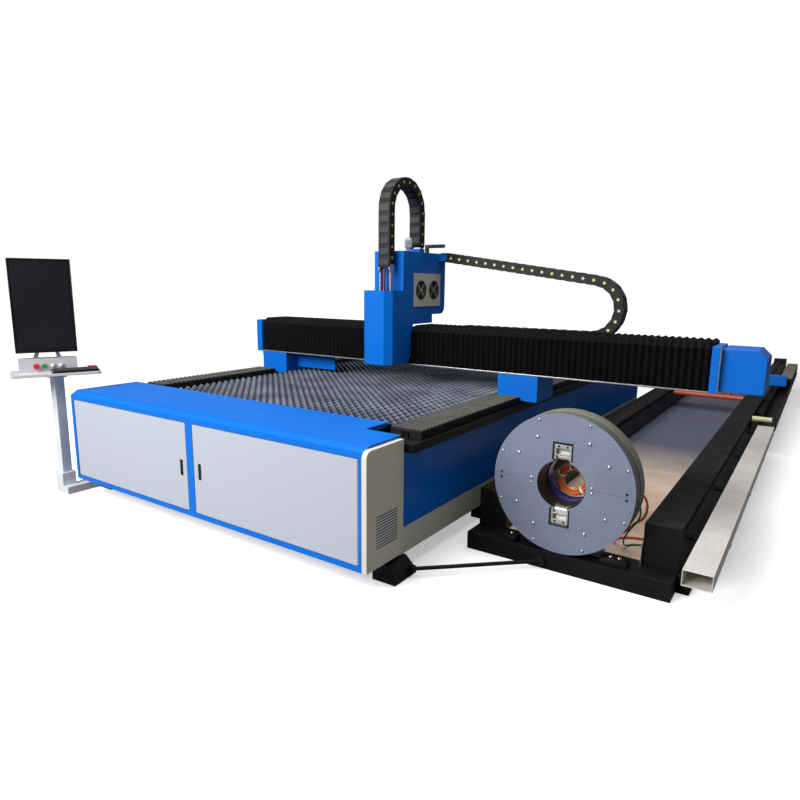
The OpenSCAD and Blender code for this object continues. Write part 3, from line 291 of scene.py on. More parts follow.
def painted(name, color, dark, rough, amount=0.35, size=3.0, coat=0.0, specular=0.5):
    """Powder coat, enamel or moulded plastic: cloudy tone and a fine peel."""
    material, tree, shader = new_finish(
        name, Coat_Weight=coat, Coat_Roughness=0.12, Specular_IOR_Level=specular
    )
    tone = mottle(tree, color, dark, size, amount, rough)
    coat_with(tree, shader, tone.outputs["Color"], tone.outputs["Roughness"])
    peel(tree, shader, size=350.0, strength=0.12, depth=0.0006)
    return material


def brushed(name, color, dark, rough, stretch, metallic=1.0):
    """Ground or drawn metal with its grain along one axis."""
    material, tree, shader = new_finish(name, Metallic=metallic)
    tone = place_group(
        tree, BRUSHED, Color=(*color, 1), Dark=(*dark, 1), Rough=rough, Stretch=stretch
    )
    coat_with(tree, shader, tone.outputs["Color"], tone.outputs["Roughness"])
    bump(tree, shader, tone.outputs["Height"], strength=0.08, depth=0.0005)
    return material


def recolor(material, mask, color):
    """Lay a second colour over a finish where the mask is one."""
    tree = material.node_tree
    base = tree.nodes["Principled BSDF"].inputs["Base Color"]
    under = base.links[0].from_socket
    tree.links.new(mix_color(tree, mask, under, (*color, 1)), base)


def along(material, axis, start, end):
    """A mask from zero at start to one at end along a machine axis, in millimetres."""
    tree = material.node_tree
    low, high = at(start, start, start)[axis], at(end, end, end)[axis]
    return ramp(tree, axis_of(tree, axis), low, high)


def round_axis(material, centre, start, end):
    """A mask from zero to one with the distance from a line along Y, in machine millimetres."""
    tree = material.node_tree
    off = reckon_vector(tree, "SUBTRACT", spot_of(tree), at(*centre))
    flat = reckon_vector(tree, "MULTIPLY", off, (1.0, 0.0, 1.0))
    reach = reckon_vector(tree, "LENGTH", flat, result="Value")
    return ramp(tree, reach, start / 1000, end / 1000)


def pleated(name, lit_ridge, shaded_valley, low, high, axis):
    """Coated fold cloth, painted paler from the low to the high place along a machine axis: a
    painted highlight on the fold ridges and painted shade in the valleys.
    """
    material, tree, shader = new_finish(name, Specular_IOR_Level=0.07)
    lift = along(material, axis, low, high)
    tone = mottle(tree, lit_ridge, shaded_valley, size=9.0, amount=0.5, rough=0.55)
    color = mix_color(tree, lift, (*shaded_valley, 1), tone.outputs["Color"])
    coat_with(tree, shader, color, tone.outputs["Roughness"])
    peel(tree, shader, size=900.0, strength=0.2, depth=0.0004)
    return material


CHAIN_SIDE = (0.006, 0.006, 0.007)
CAP_EDGE = 0.0005


def chain_finish(name, half, band, cap):
    """Drag chain by the stored distance off its middle: ribbed bands, side plates, pin caps."""
    material, tree, shader = new_finish(name, Specular_IOR_Level=0.25)
    far = add(tree, "ShaderNodeAttribute", attribute_name="across").outputs["Fac"]
    on_side = reckon(tree, "GREATER_THAN", far, half - CAP_EDGE)
    on_cap = reckon(tree, "GREATER_THAN", far, half + CAP_EDGE)
    tone = mottle(tree, band, CHAIN_SIDE, size=14.0, amount=0.5, rough=0.42)
    plates = mix_color(tree, on_side, tone.outputs["Color"], (*CHAIN_SIDE, 1))
    color = mix_color(tree, on_cap, plates, (*cap, 1))
    coat_with(tree, shader, color, tone.outputs["Roughness"])
    peel(tree, shader, size=420.0, strength=0.15, depth=0.0005)
    return material


BLUE = painted(
    "blue_paint", (0.001, 0.135, 0.57), (0.001, 0.10, 0.46), 0.30, coat=0.04, specular=0.18
)
DOOR = painted(
    "door_paint", (0.39, 0.415, 0.47), (0.34, 0.365, 0.42), 0.36,
    amount=0.25, size=1.2, specular=0.35,
)
GREIGE = painted("greige_paint", (0.58, 0.56, 0.46), (0.49, 0.47, 0.39), 0.45)
BLACK = painted(
    "black_paint", (0.006, 0.006, 0.007), (0.013, 0.013, 0.014), 0.40, amount=0.5, specular=0.22
)
RAIL_BLACK = painted(
    "rail_black", (0.004, 0.004, 0.005), (0.010, 0.010, 0.011), 0.42, amount=0.5, specular=0.18
)
DEEP_BLUE = painted("liner_blue", (0.006, 0.03, 0.22), (0.004, 0.02, 0.14), 0.3, coat=0.3)
SLAT = brushed(
    "slat_steel", (0.50, 0.56, 0.68), (0.17, 0.19, 0.25), 0.36, (1.5, 25.0, 25.0), metallic=0.75
)
FLOOR = brushed(
    "floor_steel", (0.16, 0.18, 0.22), (0.06, 0.07, 0.09), 0.40, (1.5, 25.0, 25.0), metallic=0.2
)
STEEL = brushed(
    "bright_steel", (0.62, 0.62, 0.62), (0.42, 0.42, 0.43), 0.32, (0.15, 3.0, 3.0), metallic=0.8
)
DUCT = brushed(
    "duct_aluminium", (0.80, 0.77, 0.71), (0.64, 0.61, 0.56), 0.36, (3.0, 0.1, 3.0), metallic=0.4
)
CHUCK = brushed(
    "chuck_steel", (0.24, 0.27, 0.37), (0.19, 0.215, 0.30), 0.38, (1.0, 1.0, 4.0), metallic=0.4
)
DRUM = painted("drum_olive", (0.16, 0.155, 0.125), (0.11, 0.105, 0.09), 0.42)
JAW = brushed(
    "jaw_steel", (0.62, 0.61, 0.58), (0.42, 0.41, 0.40), 0.3, (0.3, 3.0, 3.0), metallic=0.6
)
POLE = brushed(
    "pole_steel", (0.74, 0.77, 0.80), (0.62, 0.65, 0.68), 0.4, (3.0, 3.0, 0.2), metallic=0.2
)
BOLT = brushed("bolt_steel", (0.66, 0.66, 0.64), (0.46, 0.46, 0.45), 0.25, (1.0, 1.0, 1.0))
TRAY = brushed(
    "tray_sheet", (0.92, 0.70, 0.54), (0.60, 0.45, 0.34), 0.42, (3.0, 0.2, 3.0), metallic=0.1
)
PLASTIC = painted(
    "black_plastic", (0.005, 0.005, 0.006), (0.010, 0.010, 0.011), 0.25, amount=0.5, specular=0.3
)
GLASS = painted(
    "screen_glass", (0.008, 0.0085, 0.011), (0.010, 0.0105, 0.013), 0.30, amount=0.3, specular=0.3
)
KEY = painted("key_caps", (0.03, 0.03, 0.033), (0.018, 0.018, 0.02), 0.4, specular=0.3)
LAMP = painted("lamp_lens", (0.62, 0.66, 0.60), (0.50, 0.54, 0.48), 0.18, coat=0.5)
LED = painted("power_light", (0.05, 0.16, 0.75), (0.04, 0.12, 0.6), 0.2)
RED = painted("stop_red", (0.62, 0.01, 0.012), (0.45, 0.008, 0.01), 0.25, coat=0.4)
GREEN = painted("start_green", (0.01, 0.25, 0.08), (0.008, 0.18, 0.06), 0.25, coat=0.4)
RED_PAINT = painted("bar_red", (0.50, 0.07, 0.025), (0.36, 0.05, 0.02), 0.4)
ROLLER = painted("roller_cream", (0.66, 0.66, 0.36), (0.55, 0.54, 0.30), 0.4)
WHITE = painted("enamel_white", (0.50, 0.49, 0.51), (0.44, 0.43, 0.45), 0.32, coat=0.1)
ORANGE = painted("orange_sheath", (0.72, 0.16, 0.02), (0.55, 0.11, 0.015), 0.4)
SHEATH_GREEN = painted("green_sheath", (0.02, 0.17, 0.06), (0.012, 0.11, 0.04), 0.4)
TIE = painted("white_tie", (0.78, 0.78, 0.76), (0.66, 0.66, 0.64), 0.4)
BAND = painted(
    "chain_band", (0.032, 0.033, 0.038), (0.018, 0.019, 0.022), 0.4, amount=0.6, specular=0.3
)
LEAD = painted("head_lead", (0.010, 0.010, 0.011), (0.016, 0.016, 0.017), 0.4, specular=0.25)
FILTER = painted("filter_bowl", (0.66, 0.67, 0.68), (0.54, 0.55, 0.57), 0.22, coat=0.5)
TROUGH = painted(
    "trough_black", (0.006, 0.006, 0.007), (0.013, 0.013, 0.014), 0.42, amount=0.5, specular=0.22
)

# Second tones: painted shade in the bore, olive drum rim, tray darker and bluish to the rear as
# painted shade, one pink and one blue lead, black filter bar, slats dark below their tips as
# painted shade between them, blue floor past the field, tan trough lips
CHUCK_FACE = (682, 840, 500)
RIM_FROM, BORE_R, BORE_BLUR = 846, 134, 0.5
TRAY_SHADE_FROM, TRAY_SHADE_TO = 2200, 3700
PINK_FROM, BLUE_FROM, BAR_FROM = -986, -951, -906
FIELD_END = 4530
SLAT_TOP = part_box("slats")[1].z * 1000
SLAT_TIP, SLAT_SHADE_DEPTH = 6, 24
LIP_FROM, LIP_TO = 402, 404
# Painted shade: the chuck face goes near black inside the bore's radius
BORE_SHADE = round_axis(CHUCK, CHUCK_FACE, BORE_R + BORE_BLUR, BORE_R - BORE_BLUR)
recolor(CHUCK, along(CHUCK, Y, RIM_FROM, RIM_FROM + 1), (0.15, 0.145, 0.12))
recolor(CHUCK, BORE_SHADE, (0.02, 0.02, 0.022))
# Painted shade: the tray goes darker and bluish towards the rear
recolor(TRAY, along(TRAY, Y, TRAY_SHADE_FROM, TRAY_SHADE_TO), (0.10, 0.105, 0.16))
recolor(LEAD, along(LEAD, X, PINK_FROM, PINK_FROM - 1), (0.55, 0.08, 0.10))
recolor(LEAD, along(LEAD, X, BLUE_FROM, BLUE_FROM + 1), (0.02, 0.06, 0.35))
recolor(FILTER, along(FILTER, X, BAR_FROM, BAR_FROM + 1), (0.008, 0.008, 0.009))
# Painted shade: the slats go near black below their lit tips, between one slat and the next
recolor(SLAT, along(SLAT, Z, SLAT_TOP - SLAT_TIP, SLAT_TOP - SLAT_SHADE_DEPTH), (0.010, 0.011, 0.016))
recolor(FLOOR, along(FLOOR, Y, FIELD_END - 1, FIELD_END), (0.001, 0.125, 0.53))
recolor(TROUGH, along(TROUGH, Z, LIP_FROM, LIP_TO), (0.20, 0.18, 0.14))


# Piece making

SHARP_ANGLE, FLAT_ANGLE = 0.6, 0.02
NODE_GAP, POLE_GAP, CUT_GAP = 2e-5, 1e-5, 1e-6
BROAD_WEIGHT = 80
HOLE_STANDS = 0.4


def shade(mesh, degrees):
    """Smooth a mesh up to an angle, without the normals that a copied node brings along."""
    brought = mesh.attributes.get("custom_normal")
    if brought:
        mesh.attributes.remove(brought)
    mesh.polygons.foreach_set("use_smooth", [True] * len(mesh.polygons))
    mesh.set_sharp_from_angle(angle=math.radians(degrees))


def piece_from(bm, name, body, finish, degrees=40):
    """Close a bmesh into a piece that rides on a body."""
    mesh = bpy.data.meshes.new(name)
    bm.to_mesh(mesh)
    bm.free()
    mesh.materials.append(finish)
    shade(mesh, degrees)
    piece = show(name, mesh)
    if body:
        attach(piece, body)
    return piece


def body_of_node(node):
    for body, nodes in frame["record"]["behaviour"]["bodies"].items():
        if node in nodes:
            return body
    return None


def merged_copy(node):
    """The node's solid as a clean bmesh: doubles merged, flat triangles joined."""
    bm = bmesh.new()
    bm.from_mesh(frame["nodes"][node].data)
    bmesh.ops.remove_doubles(bm, verts=bm.verts, dist=NODE_GAP)
    bmesh.ops.dissolve_limit(bm, angle_limit=FLAT_ANGLE, verts=bm.verts, edges=bm.edges)
    return bm


def bevel(bm, edges, width, segments):
    bmesh.ops.bevel(
        bm, geom=edges, offset=width, offset_type="OFFSET", affect="EDGES", segments=segments,
        profile=0.5, material=-1, clamp_overlap=True,
    )


def edges_of(verts):
    return list({edge for vert in verts for edge in vert.link_edges})


def new_verts(made):
    """The vertices among what an extrusion made."""
    return [part for part in made["geom"] if isinstance(part, bmesh.types.BMVert)]


def round_edges(bm, width, segments=2, inner=True):
    """Round the sharp edges of a bmesh, or without inner only those that stand out."""
    sharp = [e for e in bm.edges if e.is_manifold and e.calc_face_angle(0) > SHARP_ANGLE]
    bevel(bm, [e for e in sharp if inner or e.is_convex], width, segments)


def even_normals(piece):
    """Keep broad faces flat in shading beside their rounded edges."""
    modifier = piece.modifiers.new("even_normals", "WEIGHTED_NORMAL")
    modifier.keep_sharp = True
    modifier.weight = BROAD_WEIGHT


def softened(node, width, finish, segments=2, inner=True):
    """Stand in for a node with the same solid, its sharp edges rounded."""
    bm = merged_copy(node)
    round_edges(bm, width, segments, inner=inner)
    piece = piece_from(bm, node + "_body", body_of_node(node), finish)
    even_normals(piece)
    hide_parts(node)


def keep(node, finish):
    """Show the node's own solid with a better finish."""
    mesh = frame["nodes"][node].data
    mesh.materials.clear()
    mesh.materials.append(finish)


def rounded_box(bm, place, size, width, segments):
    """Add a box of a size at a place, with rounded edges."""
    made = bmesh.ops.create_cube(bm, size=1.0, matrix=place @ Matrix.Diagonal((*size, 1)))
    bevel(bm, edges_of(made["verts"]), width, segments)


def block(bm, low, high, width):
    """Add a box between two corners, in the row frame, with rounded edges."""
    size = Vector(high) - Vector(low)
    middle = (Vector(high) + Vector(low)) / 2
    rounded_box(bm, Matrix.Translation(middle), size, width, segments=2)


def block_piece(name, body, finish, low, high, width):
    """A piece that is one rounded box."""
    bm = bmesh.new()
    block(bm, low, high, width)
    return piece_from(bm, name, body, finish)


def prism(bm, outline, y0, y1):
    """Add a block with an outline of (x, z) pairs from y0 to y1, in machine millimetres."""
    face = bm.faces.new([bm.verts.new(at(x, y0, z)) for x, z in outline])
    made = bmesh.ops.extrude_face_region(bm, geom=[face])
    bmesh.ops.translate(bm, verts=new_verts(made), vec=(0, (y1 - y0) / 1000, 0))
    bmesh.ops.recalc_face_normals(bm, faces=bm.faces)


def turned(bm, outline, centre, axis, steps):
    """Spin an outline of (radius, along) pairs, in millimetres, round an axis through centre."""
    axis = Vector(axis).normalized()
    side = axis.orthogonal().normalized()
    verts = [bm.verts.new(centre + side * (r / 1000) + axis * (a / 1000)) for r, a in outline]
    edges = [bm.edges.new(pair) for pair in zip(verts, verts[1:])]
    bmesh.ops.spin(
        bm, geom=verts + edges, cent=centre, axis=axis, angle=math.tau, steps=steps, use_merge=True
    )


def close_up(bm):
    bmesh.ops.remove_doubles(bm, verts=bm.verts, dist=POLE_GAP)
    bmesh.ops.recalc_face_normals(bm, faces=bm.faces)


def turned_piece(name, body, finish, outline, spots, axis, steps=18):
    """One spun outline at each of some spots."""
    bm = bmesh.new()
    for spot in spots:
        turned(bm, outline, spot, axis, steps)
    close_up(bm)
    return piece_from(bm, name, body, finish)


def bolt_heads(name, body, spots, r, axis, finish):
    """Domed heads of a radius that stand on a face."""
    dome = [(0, 0), (r, 0), (r, 0.3 * r), (0.85 * r, 0.55 * r), (0.5 * r, 0.72 * r), (0, 0.78 * r)]
    turned_piece(name, body, finish, dome, spots, axis)


def hole_shade_discs(name, body, spots, r, axis, steps=18):
    """Thin black discs where a face has holes: painted shade for the dark inside of each hole."""
    disc = [(0, 0), (r, 0), (r, HOLE_STANDS), (0, HOLE_STANDS)]
    turned_piece(name, body, PLASTIC, disc, spots, axis, steps)


# Cords behind the chuck: the orange lead rises from the tray to a coil in the liner,
# the green one to the housing

ORANGE_WIDE, GREEN_WIDE = 0.014, 0.010
CHUCK_AT = (682, 1012, 500)
TRAY_AT = (1090, 1012, 106)
COIL_R, COIL_PACK, COIL_TURNS, COIL_STEPS = 74, 15, 5, 24
PACK_TURN = 60
COIL_AT = (682, 1058, 474.4)
TIE_TURNS = (40, 100, 160, 310)
TIE_R, TIE_WIDE, TIE_THICK = 0.0235, 0.012, 0.0015
PLUG_FROM, PLUG_TO, PLUG_HALF, PLUG_EDGE = -0.030, 0.004, 0.008, 0.002
ORANGE_HIGH = [
    (0, 60, -100), (30, 64, -99), (60, 74, -95), (95, 90, -88), (130, 106, -77), (168, 118, -65),
    (208, 126, -55), (252, 130, -48), (300, 128, -45), (350, 123, -60), (380, 116, -95),
    (387, 110, -140), (375, 106, -185),
]
ORANGE_LOW = [
    (-80, 106, 160), (-120, 113, 110), (-160, 128, 70), (-190, 153, 40), (-200, 193, 16),
    (-185, 238, 9), (-145, 273, 8), (-100, 293, 8), (-55, 300, 8), (-20, 303, 8), (0, 303, 8),
]
GREEN_HIGH = [
    (190, 12, -30), (190, 38, -30), (200, 63, -38), (232, 78, -46), (275, 84, -56), (320, 83, -74),
    (350, 80, -105), (362, 78, -148), (355, 78, -195),
]
GREEN_LOW = [
    (-80, 80, 155), (-112, 86, 98), (-128, 100, 50), (-128, 128, 18), (-115, 163, 7), (-90, 193, 6),
    (-55, 210, 6), (-20, 216, 6), (0, 216, 6),
]


def offset_points(origin, route):
    """A cord's route, given as steps from an origin."""
    return [at(origin[0] + x, origin[1] + y, origin[2] + z) for x, y, z in route]


def coil_points():
    """The coil's turns, from its tail round to the strand that leaves it at the bottom."""
    points = []
    for i in range(COIL_TURNS * COIL_STEPS + 1):
        turn = math.tau * i / COIL_STEPS
        packed = math.radians(90 - PACK_TURN * COIL_TURNS + PACK_TURN * i / COIL_STEPS)
        reach = COIL_R + COIL_PACK * math.cos(packed)
        around = -math.pi / 2 + turn
        points.append(at(
            COIL_AT[0] + reach * math.cos(around),
            COIL_AT[1] + COIL_PACK * math.sin(packed),
            COIL_AT[2] + reach * math.sin(around),
        ))
    return points


def lead(name, points, radius, finish, body):
    """A round cord along its points, as one open curve."""
    curve = bpy.data.curves.new(name, "CURVE")
    curve.dimensions = "3D"
    curve.bevel_depth = radius
    curve.bevel_resolution = 4
    curve.resolution_u = 6
    curve.use_fill_caps = True
    spline = curve.splines.new("BEZIER")
    spline.bezier_points.add(len(points) - 1)
    for bezier, point in zip(spline.bezier_points, points):
        bezier.co = point
        bezier.handle_left_type = bezier.handle_right_type = "AUTO"
    curve.materials.append(finish)
    cord = show(name, curve)
    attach(cord, body)
    return cord


def curve_length(cord):
    shown = cord.evaluated_get(bpy.context.evaluated_depsgraph_get())
    return shown.data.splines[0].calc_length()


def tie_ring(bm, turn):
    """Add the open wall of a tie round the coil's strands, at a turn about its middle."""
    across, up = COIL_R * math.cos(turn), COIL_R * math.sin(turn)
    spot = at(COIL_AT[0] + across, COIL_AT[1], COIL_AT[2] + up)
    ring = Matrix.Translation(spot) @ Matrix.Rotation(-turn, 4, "Y")
    made = bmesh.ops.create_circle(bm, segments=20, radius=TIE_R, matrix=ring)
    wall = bmesh.ops.extrude_edge_only(bm, edges=edges_of(made["verts"]))
    lift = Matrix.Rotation(-turn, 3, "Y") @ Vector((0, 0, TIE_WIDE))
    bmesh.ops.translate(bm, verts=new_verts(wall), vec=lift)


def make_coil_ties():
    bm = bmesh.new()
    for degrees in TIE_TURNS:
        tie_ring(bm, math.radians(degrees))
    bmesh.ops.recalc_face_normals(bm, faces=bm.faces)
    bmesh.ops.solidify(bm, geom=bm.faces[:], thickness=TIE_THICK)
    return piece_from(bm, "coil_ties", "machine", TIE)


def make_orange_lead():
    rise = offset_points(CHUCK_AT, ORANGE_HIGH) + offset_points(TRAY_AT, ORANGE_LOW)
    points = list(reversed(coil_points()[:-1] + rise))
    orange = lead("orange_lead", points, ORANGE_WIDE / 2, ORANGE, "machine")
    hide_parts("cable_orange")
    tail = coil_points()[0]
    low = tail + Vector((PLUG_FROM, -PLUG_HALF, -PLUG_HALF))
    high = tail + Vector((PLUG_TO, PLUG_HALF, PLUG_HALF))
    plug = block_piece("orange_lead_connector", "machine", TIE, low, high, PLUG_EDGE)
    ties = make_coil_ties()
    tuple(points[0])
    curve_length(orange)


def make_green_lead():
    rise = offset_points(CHUCK_AT, GREEN_HIGH) + offset_points(TRAY_AT, GREEN_LOW)
    points = list(reversed(rise))
    green = lead("green_lead", points, GREEN_WIDE / 2, SHEATH_GREEN, "machine")
    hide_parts("cable_green")
    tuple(points[0])
    curve_length(green)


make_orange_lead()
make_green_lead()


# Bed and cabinet


def dress_bed():
    softened("bed_beam_right", 0.004, BLUE)
    softened("bed_beam_left", 0.004, BLUE)
    softened("bed_skirts", 0.002, GREIGE)
    softened("bed_feet", 0.004, BLACK)
    keep("bed_floor", FLOOR)
    keep("slat_combs", BLACK)
    keep("slats", SLAT)


def dress_cabinet():
    softened("cabinet_shell", 0.003, BLUE)
    softened("cabinet_cover", 0.005, BLUE, segments=3)
    softened("end_cover", 0.004, GREIGE)
    keep("electrics_panel", STEEL)
    for side in ("left", "right"):
        softened("door_" + side, 0.0025, DOOR)
        softened("latch_" + side, 0.002, PLASTIC)


dress_bed()
dress_cabinet()


# Covers and chains that follow a slide

# Shares of the way at which a cover or a chain is cut into runs
FOLD_RUNS = (0, 0.03, 0.07, 0.12, 0.2, 0.3, 0.4, 0.5, 0.6, 0.7, 0.8, 0.88, 0.93, 0.97, 1)
FOLD_ANGLE, LINK_ANGLE = 4, 30


def ease_back(share):
    """How far along a smooth blend its weight reaches a share."""
    return 0.5 - math.sin(math.asin(1 - 2 * share) / 3)


def blend_span(a, b):
    """Start and length of the smooth blend that moves a run's two ends by their shares."""
    stretch = (b - a) / (ease_back(b) - ease_back(a))
    return a - ease_back(a) * stretch, stretch


def cut_run(bm, axis, place, side):
    """Take off what lies beyond a place along an axis and close the cut."""
    spot, normal = Vector(), Vector()
    spot[axis], normal[axis] = place, side
    bmesh.ops.bisect_plane(
        bm, geom=bm.verts[:] + bm.edges[:] + bm.faces[:], dist=CUT_GAP,
        plane_co=spot, plane_no=normal, clear_outer=True,
    )
    bmesh.ops.holes_fill(bm, edges=[edge for edge in bm.edges if edge.is_boundary], sides=0)


def folding(node, axis, finish):
    """A pleated cover cut at its folds into short runs."""
    low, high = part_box(node)
    length = high[axis] - low[axis]
    bm = merged_copy(node)
    folds = sorted({(vert.co[axis] - low[axis]) / length for vert in bm.verts})
    bm.free()
    shares = [min(folds, key=lambda fold: abs(fold - share)) for share in FOLD_RUNS]
    shares[0], shares[-1] = 0, 1
    for number, (a, b) in enumerate(zip(shares, shares[1:])):
        bm = merged_copy(node)
        if a > 0:
            cut_run(bm, axis, low[axis] + a * length, -1)
        if b < 1:
            cut_run(bm, axis, low[axis] + b * length, 1)
        piece = piece_from(bm, f"{node}_run_{number}", None, finish, degrees=FOLD_ANGLE)
        from_share, stretch = blend_span(a, b)
        start, end = low.copy(), low.copy()
        start[axis] += from_share * length
        end[axis] = start[axis] + stretch * length
        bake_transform(piece)
        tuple(start)
        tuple(end)
        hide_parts(node)


# Fold covers: ridges painted pale and valleys painted near black, as painted highlight and painted
# shade on the pleats
Y_COVER = pleated(
    "rail_fold_cloth", (0.13, 0.125, 0.115), (0.012, 0.012, 0.012), low=783, high=789.5, axis=Z
)
TUBE_COVER = pleated(
    "tube_fold_cloth", (0.020, 0.020, 0.022), (0.003, 0.003, 0.004), low=318, high=335, axis=Z
)
X_COVER = pleated(
    "gantry_fold_cloth", (0.007, 0.007, 0.008), (0.002, 0.002, 0.003), low=1712, high=1700, axis=Y
)


def dress_slides():
    folding("y_bellows_front", Y, Y_COVER)
    folding("y_bellows_rear", Y, Y_COVER)
    folding("x_bellows_left", X, X_COVER)
    folding("x_bellows_right", X, X_COVER)
    folding("tube_bellows", Y, TUBE_COVER)


# Drag chains: Z stands over the head, X runs behind the gantry, Y lies beside the bed
LINK, LINK_R = 77, 33
BAR_LONG, BAR_WIDE, BAR_THICK = 0.044, 0.086, 0.004
BAR_LIFT, BAR_AHEAD, BAR_EDGE = 1.5, 0.008, 0.0015
Z_SIDE, Z_LEG, Z_START, Z_RISE, Z_BEND, Z_LINKS = -970, 1533, 1660, 430, 205, 17
X_START, X_SLOPE, X_BACK = (-826, 1763), math.radians(8.2), 2150
X_RUN, X_BEND, X_LINKS = 1250, 196, 37
Y_LINK, Y_LINKS, Y_BEND, Y_FIXED, Y_END = 45, 94, 90, 900, 1934
Y_SIDE, Y_LOW = -2600, 712.5
Y_RUN = (Y_END - Y_FIXED + Y_LINKS * Y_LINK - math.pi * Y_BEND) / 2
LOOP_BLEND = 20


def z_pin(s):
    """Place of the vertical chain's line, s millimetres from its start."""
    turn = (s - Z_RISE) / Z_BEND
    top = Z_START + Z_RISE
    if s < Z_RISE:
        return at(Z_SIDE, Z_LEG, Z_START + s)
    if turn < math.pi:
        return at(Z_SIDE, Z_LEG + Z_BEND * (1 - math.cos(turn)), top + Z_BEND * math.sin(turn))
    return at(Z_SIDE, Z_LEG + 2 * Z_BEND, top - (s - Z_RISE - math.pi * Z_BEND))


def x_pin(s):
    """Place of the long chain's line, s millimetres from its start."""
    turn = X_SLOPE + (s - X_RUN) / X_BEND
    middle_x = X_START[0] + X_RUN * math.cos(X_SLOPE) - X_BEND * math.sin(X_SLOPE)
    middle_z = X_START[1] - X_RUN * math.sin(X_SLOPE) - X_BEND * math.cos(X_SLOPE)
    if s < X_RUN:
        return at(X_START[0] + s * math.cos(X_SLOPE), X_BACK, X_START[1] - s * math.sin(X_SLOPE))
    if turn < math.pi:
        return at(middle_x + X_BEND * math.sin(turn), X_BACK, middle_z + X_BEND * math.cos(turn))
    return at(middle_x - X_BEND * (turn - math.pi), X_BACK, middle_z - X_BEND)


def y_pin(s):
    """Place of the side chain's line, s millimetres from its fixed end."""
    turn = (s - Y_RUN) / Y_BEND
    back = Y_FIXED + Y_RUN
    if s < Y_RUN:
        return at(Y_SIDE, Y_FIXED + s, Y_LOW)
    if turn < math.pi:
        return at(Y_SIDE, back + Y_BEND * math.sin(turn), Y_LOW + Y_BEND * (1 - math.cos(turn)))
    return at(Y_SIDE, back - Y_BEND * (turn - math.pi), Y_LOW + 2 * Y_BEND)


def islands(bm):
    """The separate solids of a bmesh, each as its list of vertices."""
    left = set(bm.verts)
    while left:
        found, waiting = set(), [left.pop()]
        while waiting:
            vert = waiting.pop()
            found.add(vert)
            others = [edge.other_vert(vert) for edge in vert.link_edges]
            waiting += [other for other in others if other in left]
            left.difference_update(waiting)
        yield list(found)


def link_bar(bm, back, front, across):
    """Raised cross bars over a link, inside and outside."""
    run = (front - back).normalized()
    out = across.cross(run)
    turn = Matrix((run, across, out)).transposed().to_4x4()
    size = Matrix.Diagonal((BAR_LONG, BAR_WIDE, BAR_THICK, 1))
    for side in (-1, 1):
        lift = out * side * (LINK_R + BAR_LIFT) / 1000
        middle = (back + front) / 2 + lift + run * BAR_AHEAD
        bmesh.ops.create_cube(bm, size=1.0, matrix=Matrix.Translation(middle) @ turn @ size)


def chain_groups(pitch, links, run, bend):
    """Groups of links, under the shares of the way at which each group starts and ends."""
    whole = links * pitch
    groups = {}
    for i in range(links):
        s = (i + 0.5) * pitch
        if run < s < run + bend:
            groups.setdefault((0.5, 0.5), []).append(i)
            continue
        share = s / run / 2 if s <= run else 1 - (whole - s) / (whole - run - bend) / 2
        spot = max(number for number, low in enumerate(FOLD_RUNS[:-1]) if low <= share)
        groups.setdefault((FOLD_RUNS[spot], FOLD_RUNS[spot + 1]), []).append(i)
    return groups


def run_ends(pin, sizes, a, b):
    """Ends of the blend for the links of a straight run between two shares of the way."""
    pitch, links, run, bend = sizes
    if (a + b) / 2 < 0.5:
        begin, stop, base = 0, run, 0
    else:
        begin, stop, base = run + bend, links * pitch, 0.5
    line = (pin(stop) - pin(begin)) * 2
    from_share, stretch = blend_span(a, b)
    start = pin(begin) + line * (from_share - base)
    return start, pin(begin) + line * (from_share + stretch - base)


def marked_chain(node, middles, across):
    """The chain's solid, with each vertex's distance off its middle and its link's number."""
    chain = merged_copy(node)
    off = chain.verts.layers.float.new("across")
    link_of = chain.verts.layers.int.new("link")
    for solid in islands(chain):
        centre = sum((vert.co for vert in solid), Vector()) / len(solid)
        nearest = min(range(len(middles)), key=lambda i: (middles[i] - centre).length)
        for vert in solid:
            vert[off] = abs((vert.co - middles[0]).dot(across))
            vert[link_of] = nearest
    return chain


def link_bars(name, pin, pitch, members, across):
    """The cross bars of a group of links."""
    bm = bmesh.new()
    for i in members:
        link_bar(bm, pin(i * pitch), pin((i + 1) * pitch), across)
    bmesh.ops.recalc_face_normals(bm, faces=bm.faces)
    round_edges(bm, BAR_EDGE, segments=1)
    return piece_from(bm, name, None, BAND)


def dress_chain(node, pin, sizes, across, finish, bars=True):
    """A chain in groups of links, with their cross bars unless bars is false.
    """
    pitch, links = sizes[:2]
    across = Vector(across)
    middles = [(pin(i * pitch) + pin((i + 1) * pitch)) / 2 for i in range(links)]
    chain = marked_chain(node, middles, across)
    for number, ((a, b), members) in enumerate(chain_groups(*sizes).items()):
        bm = chain.copy()
        mark = bm.verts.layers.int["link"]
        others = [vert for vert in bm.verts if vert[mark] not in members]
        bmesh.ops.delete(bm, geom=others, context="VERTS")
        pieces = [piece_from(bm, f"{node}_run_{number}", None, finish, degrees=LINK_ANGLE)]
        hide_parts(node)
        if bars:
            pieces.append(link_bars(f"{node}_bars_{number}", pin, pitch, members, across))
        if a == b:
            start = middles[members[0]] - across * LOOP_BLEND
            end = middles[members[0]] + across * LOOP_BLEND
        else:
            start, end = run_ends(pin, sizes, a, b)
        for piece in pieces:
            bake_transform(piece)
            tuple(start)
            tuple(end)
    chain.free()


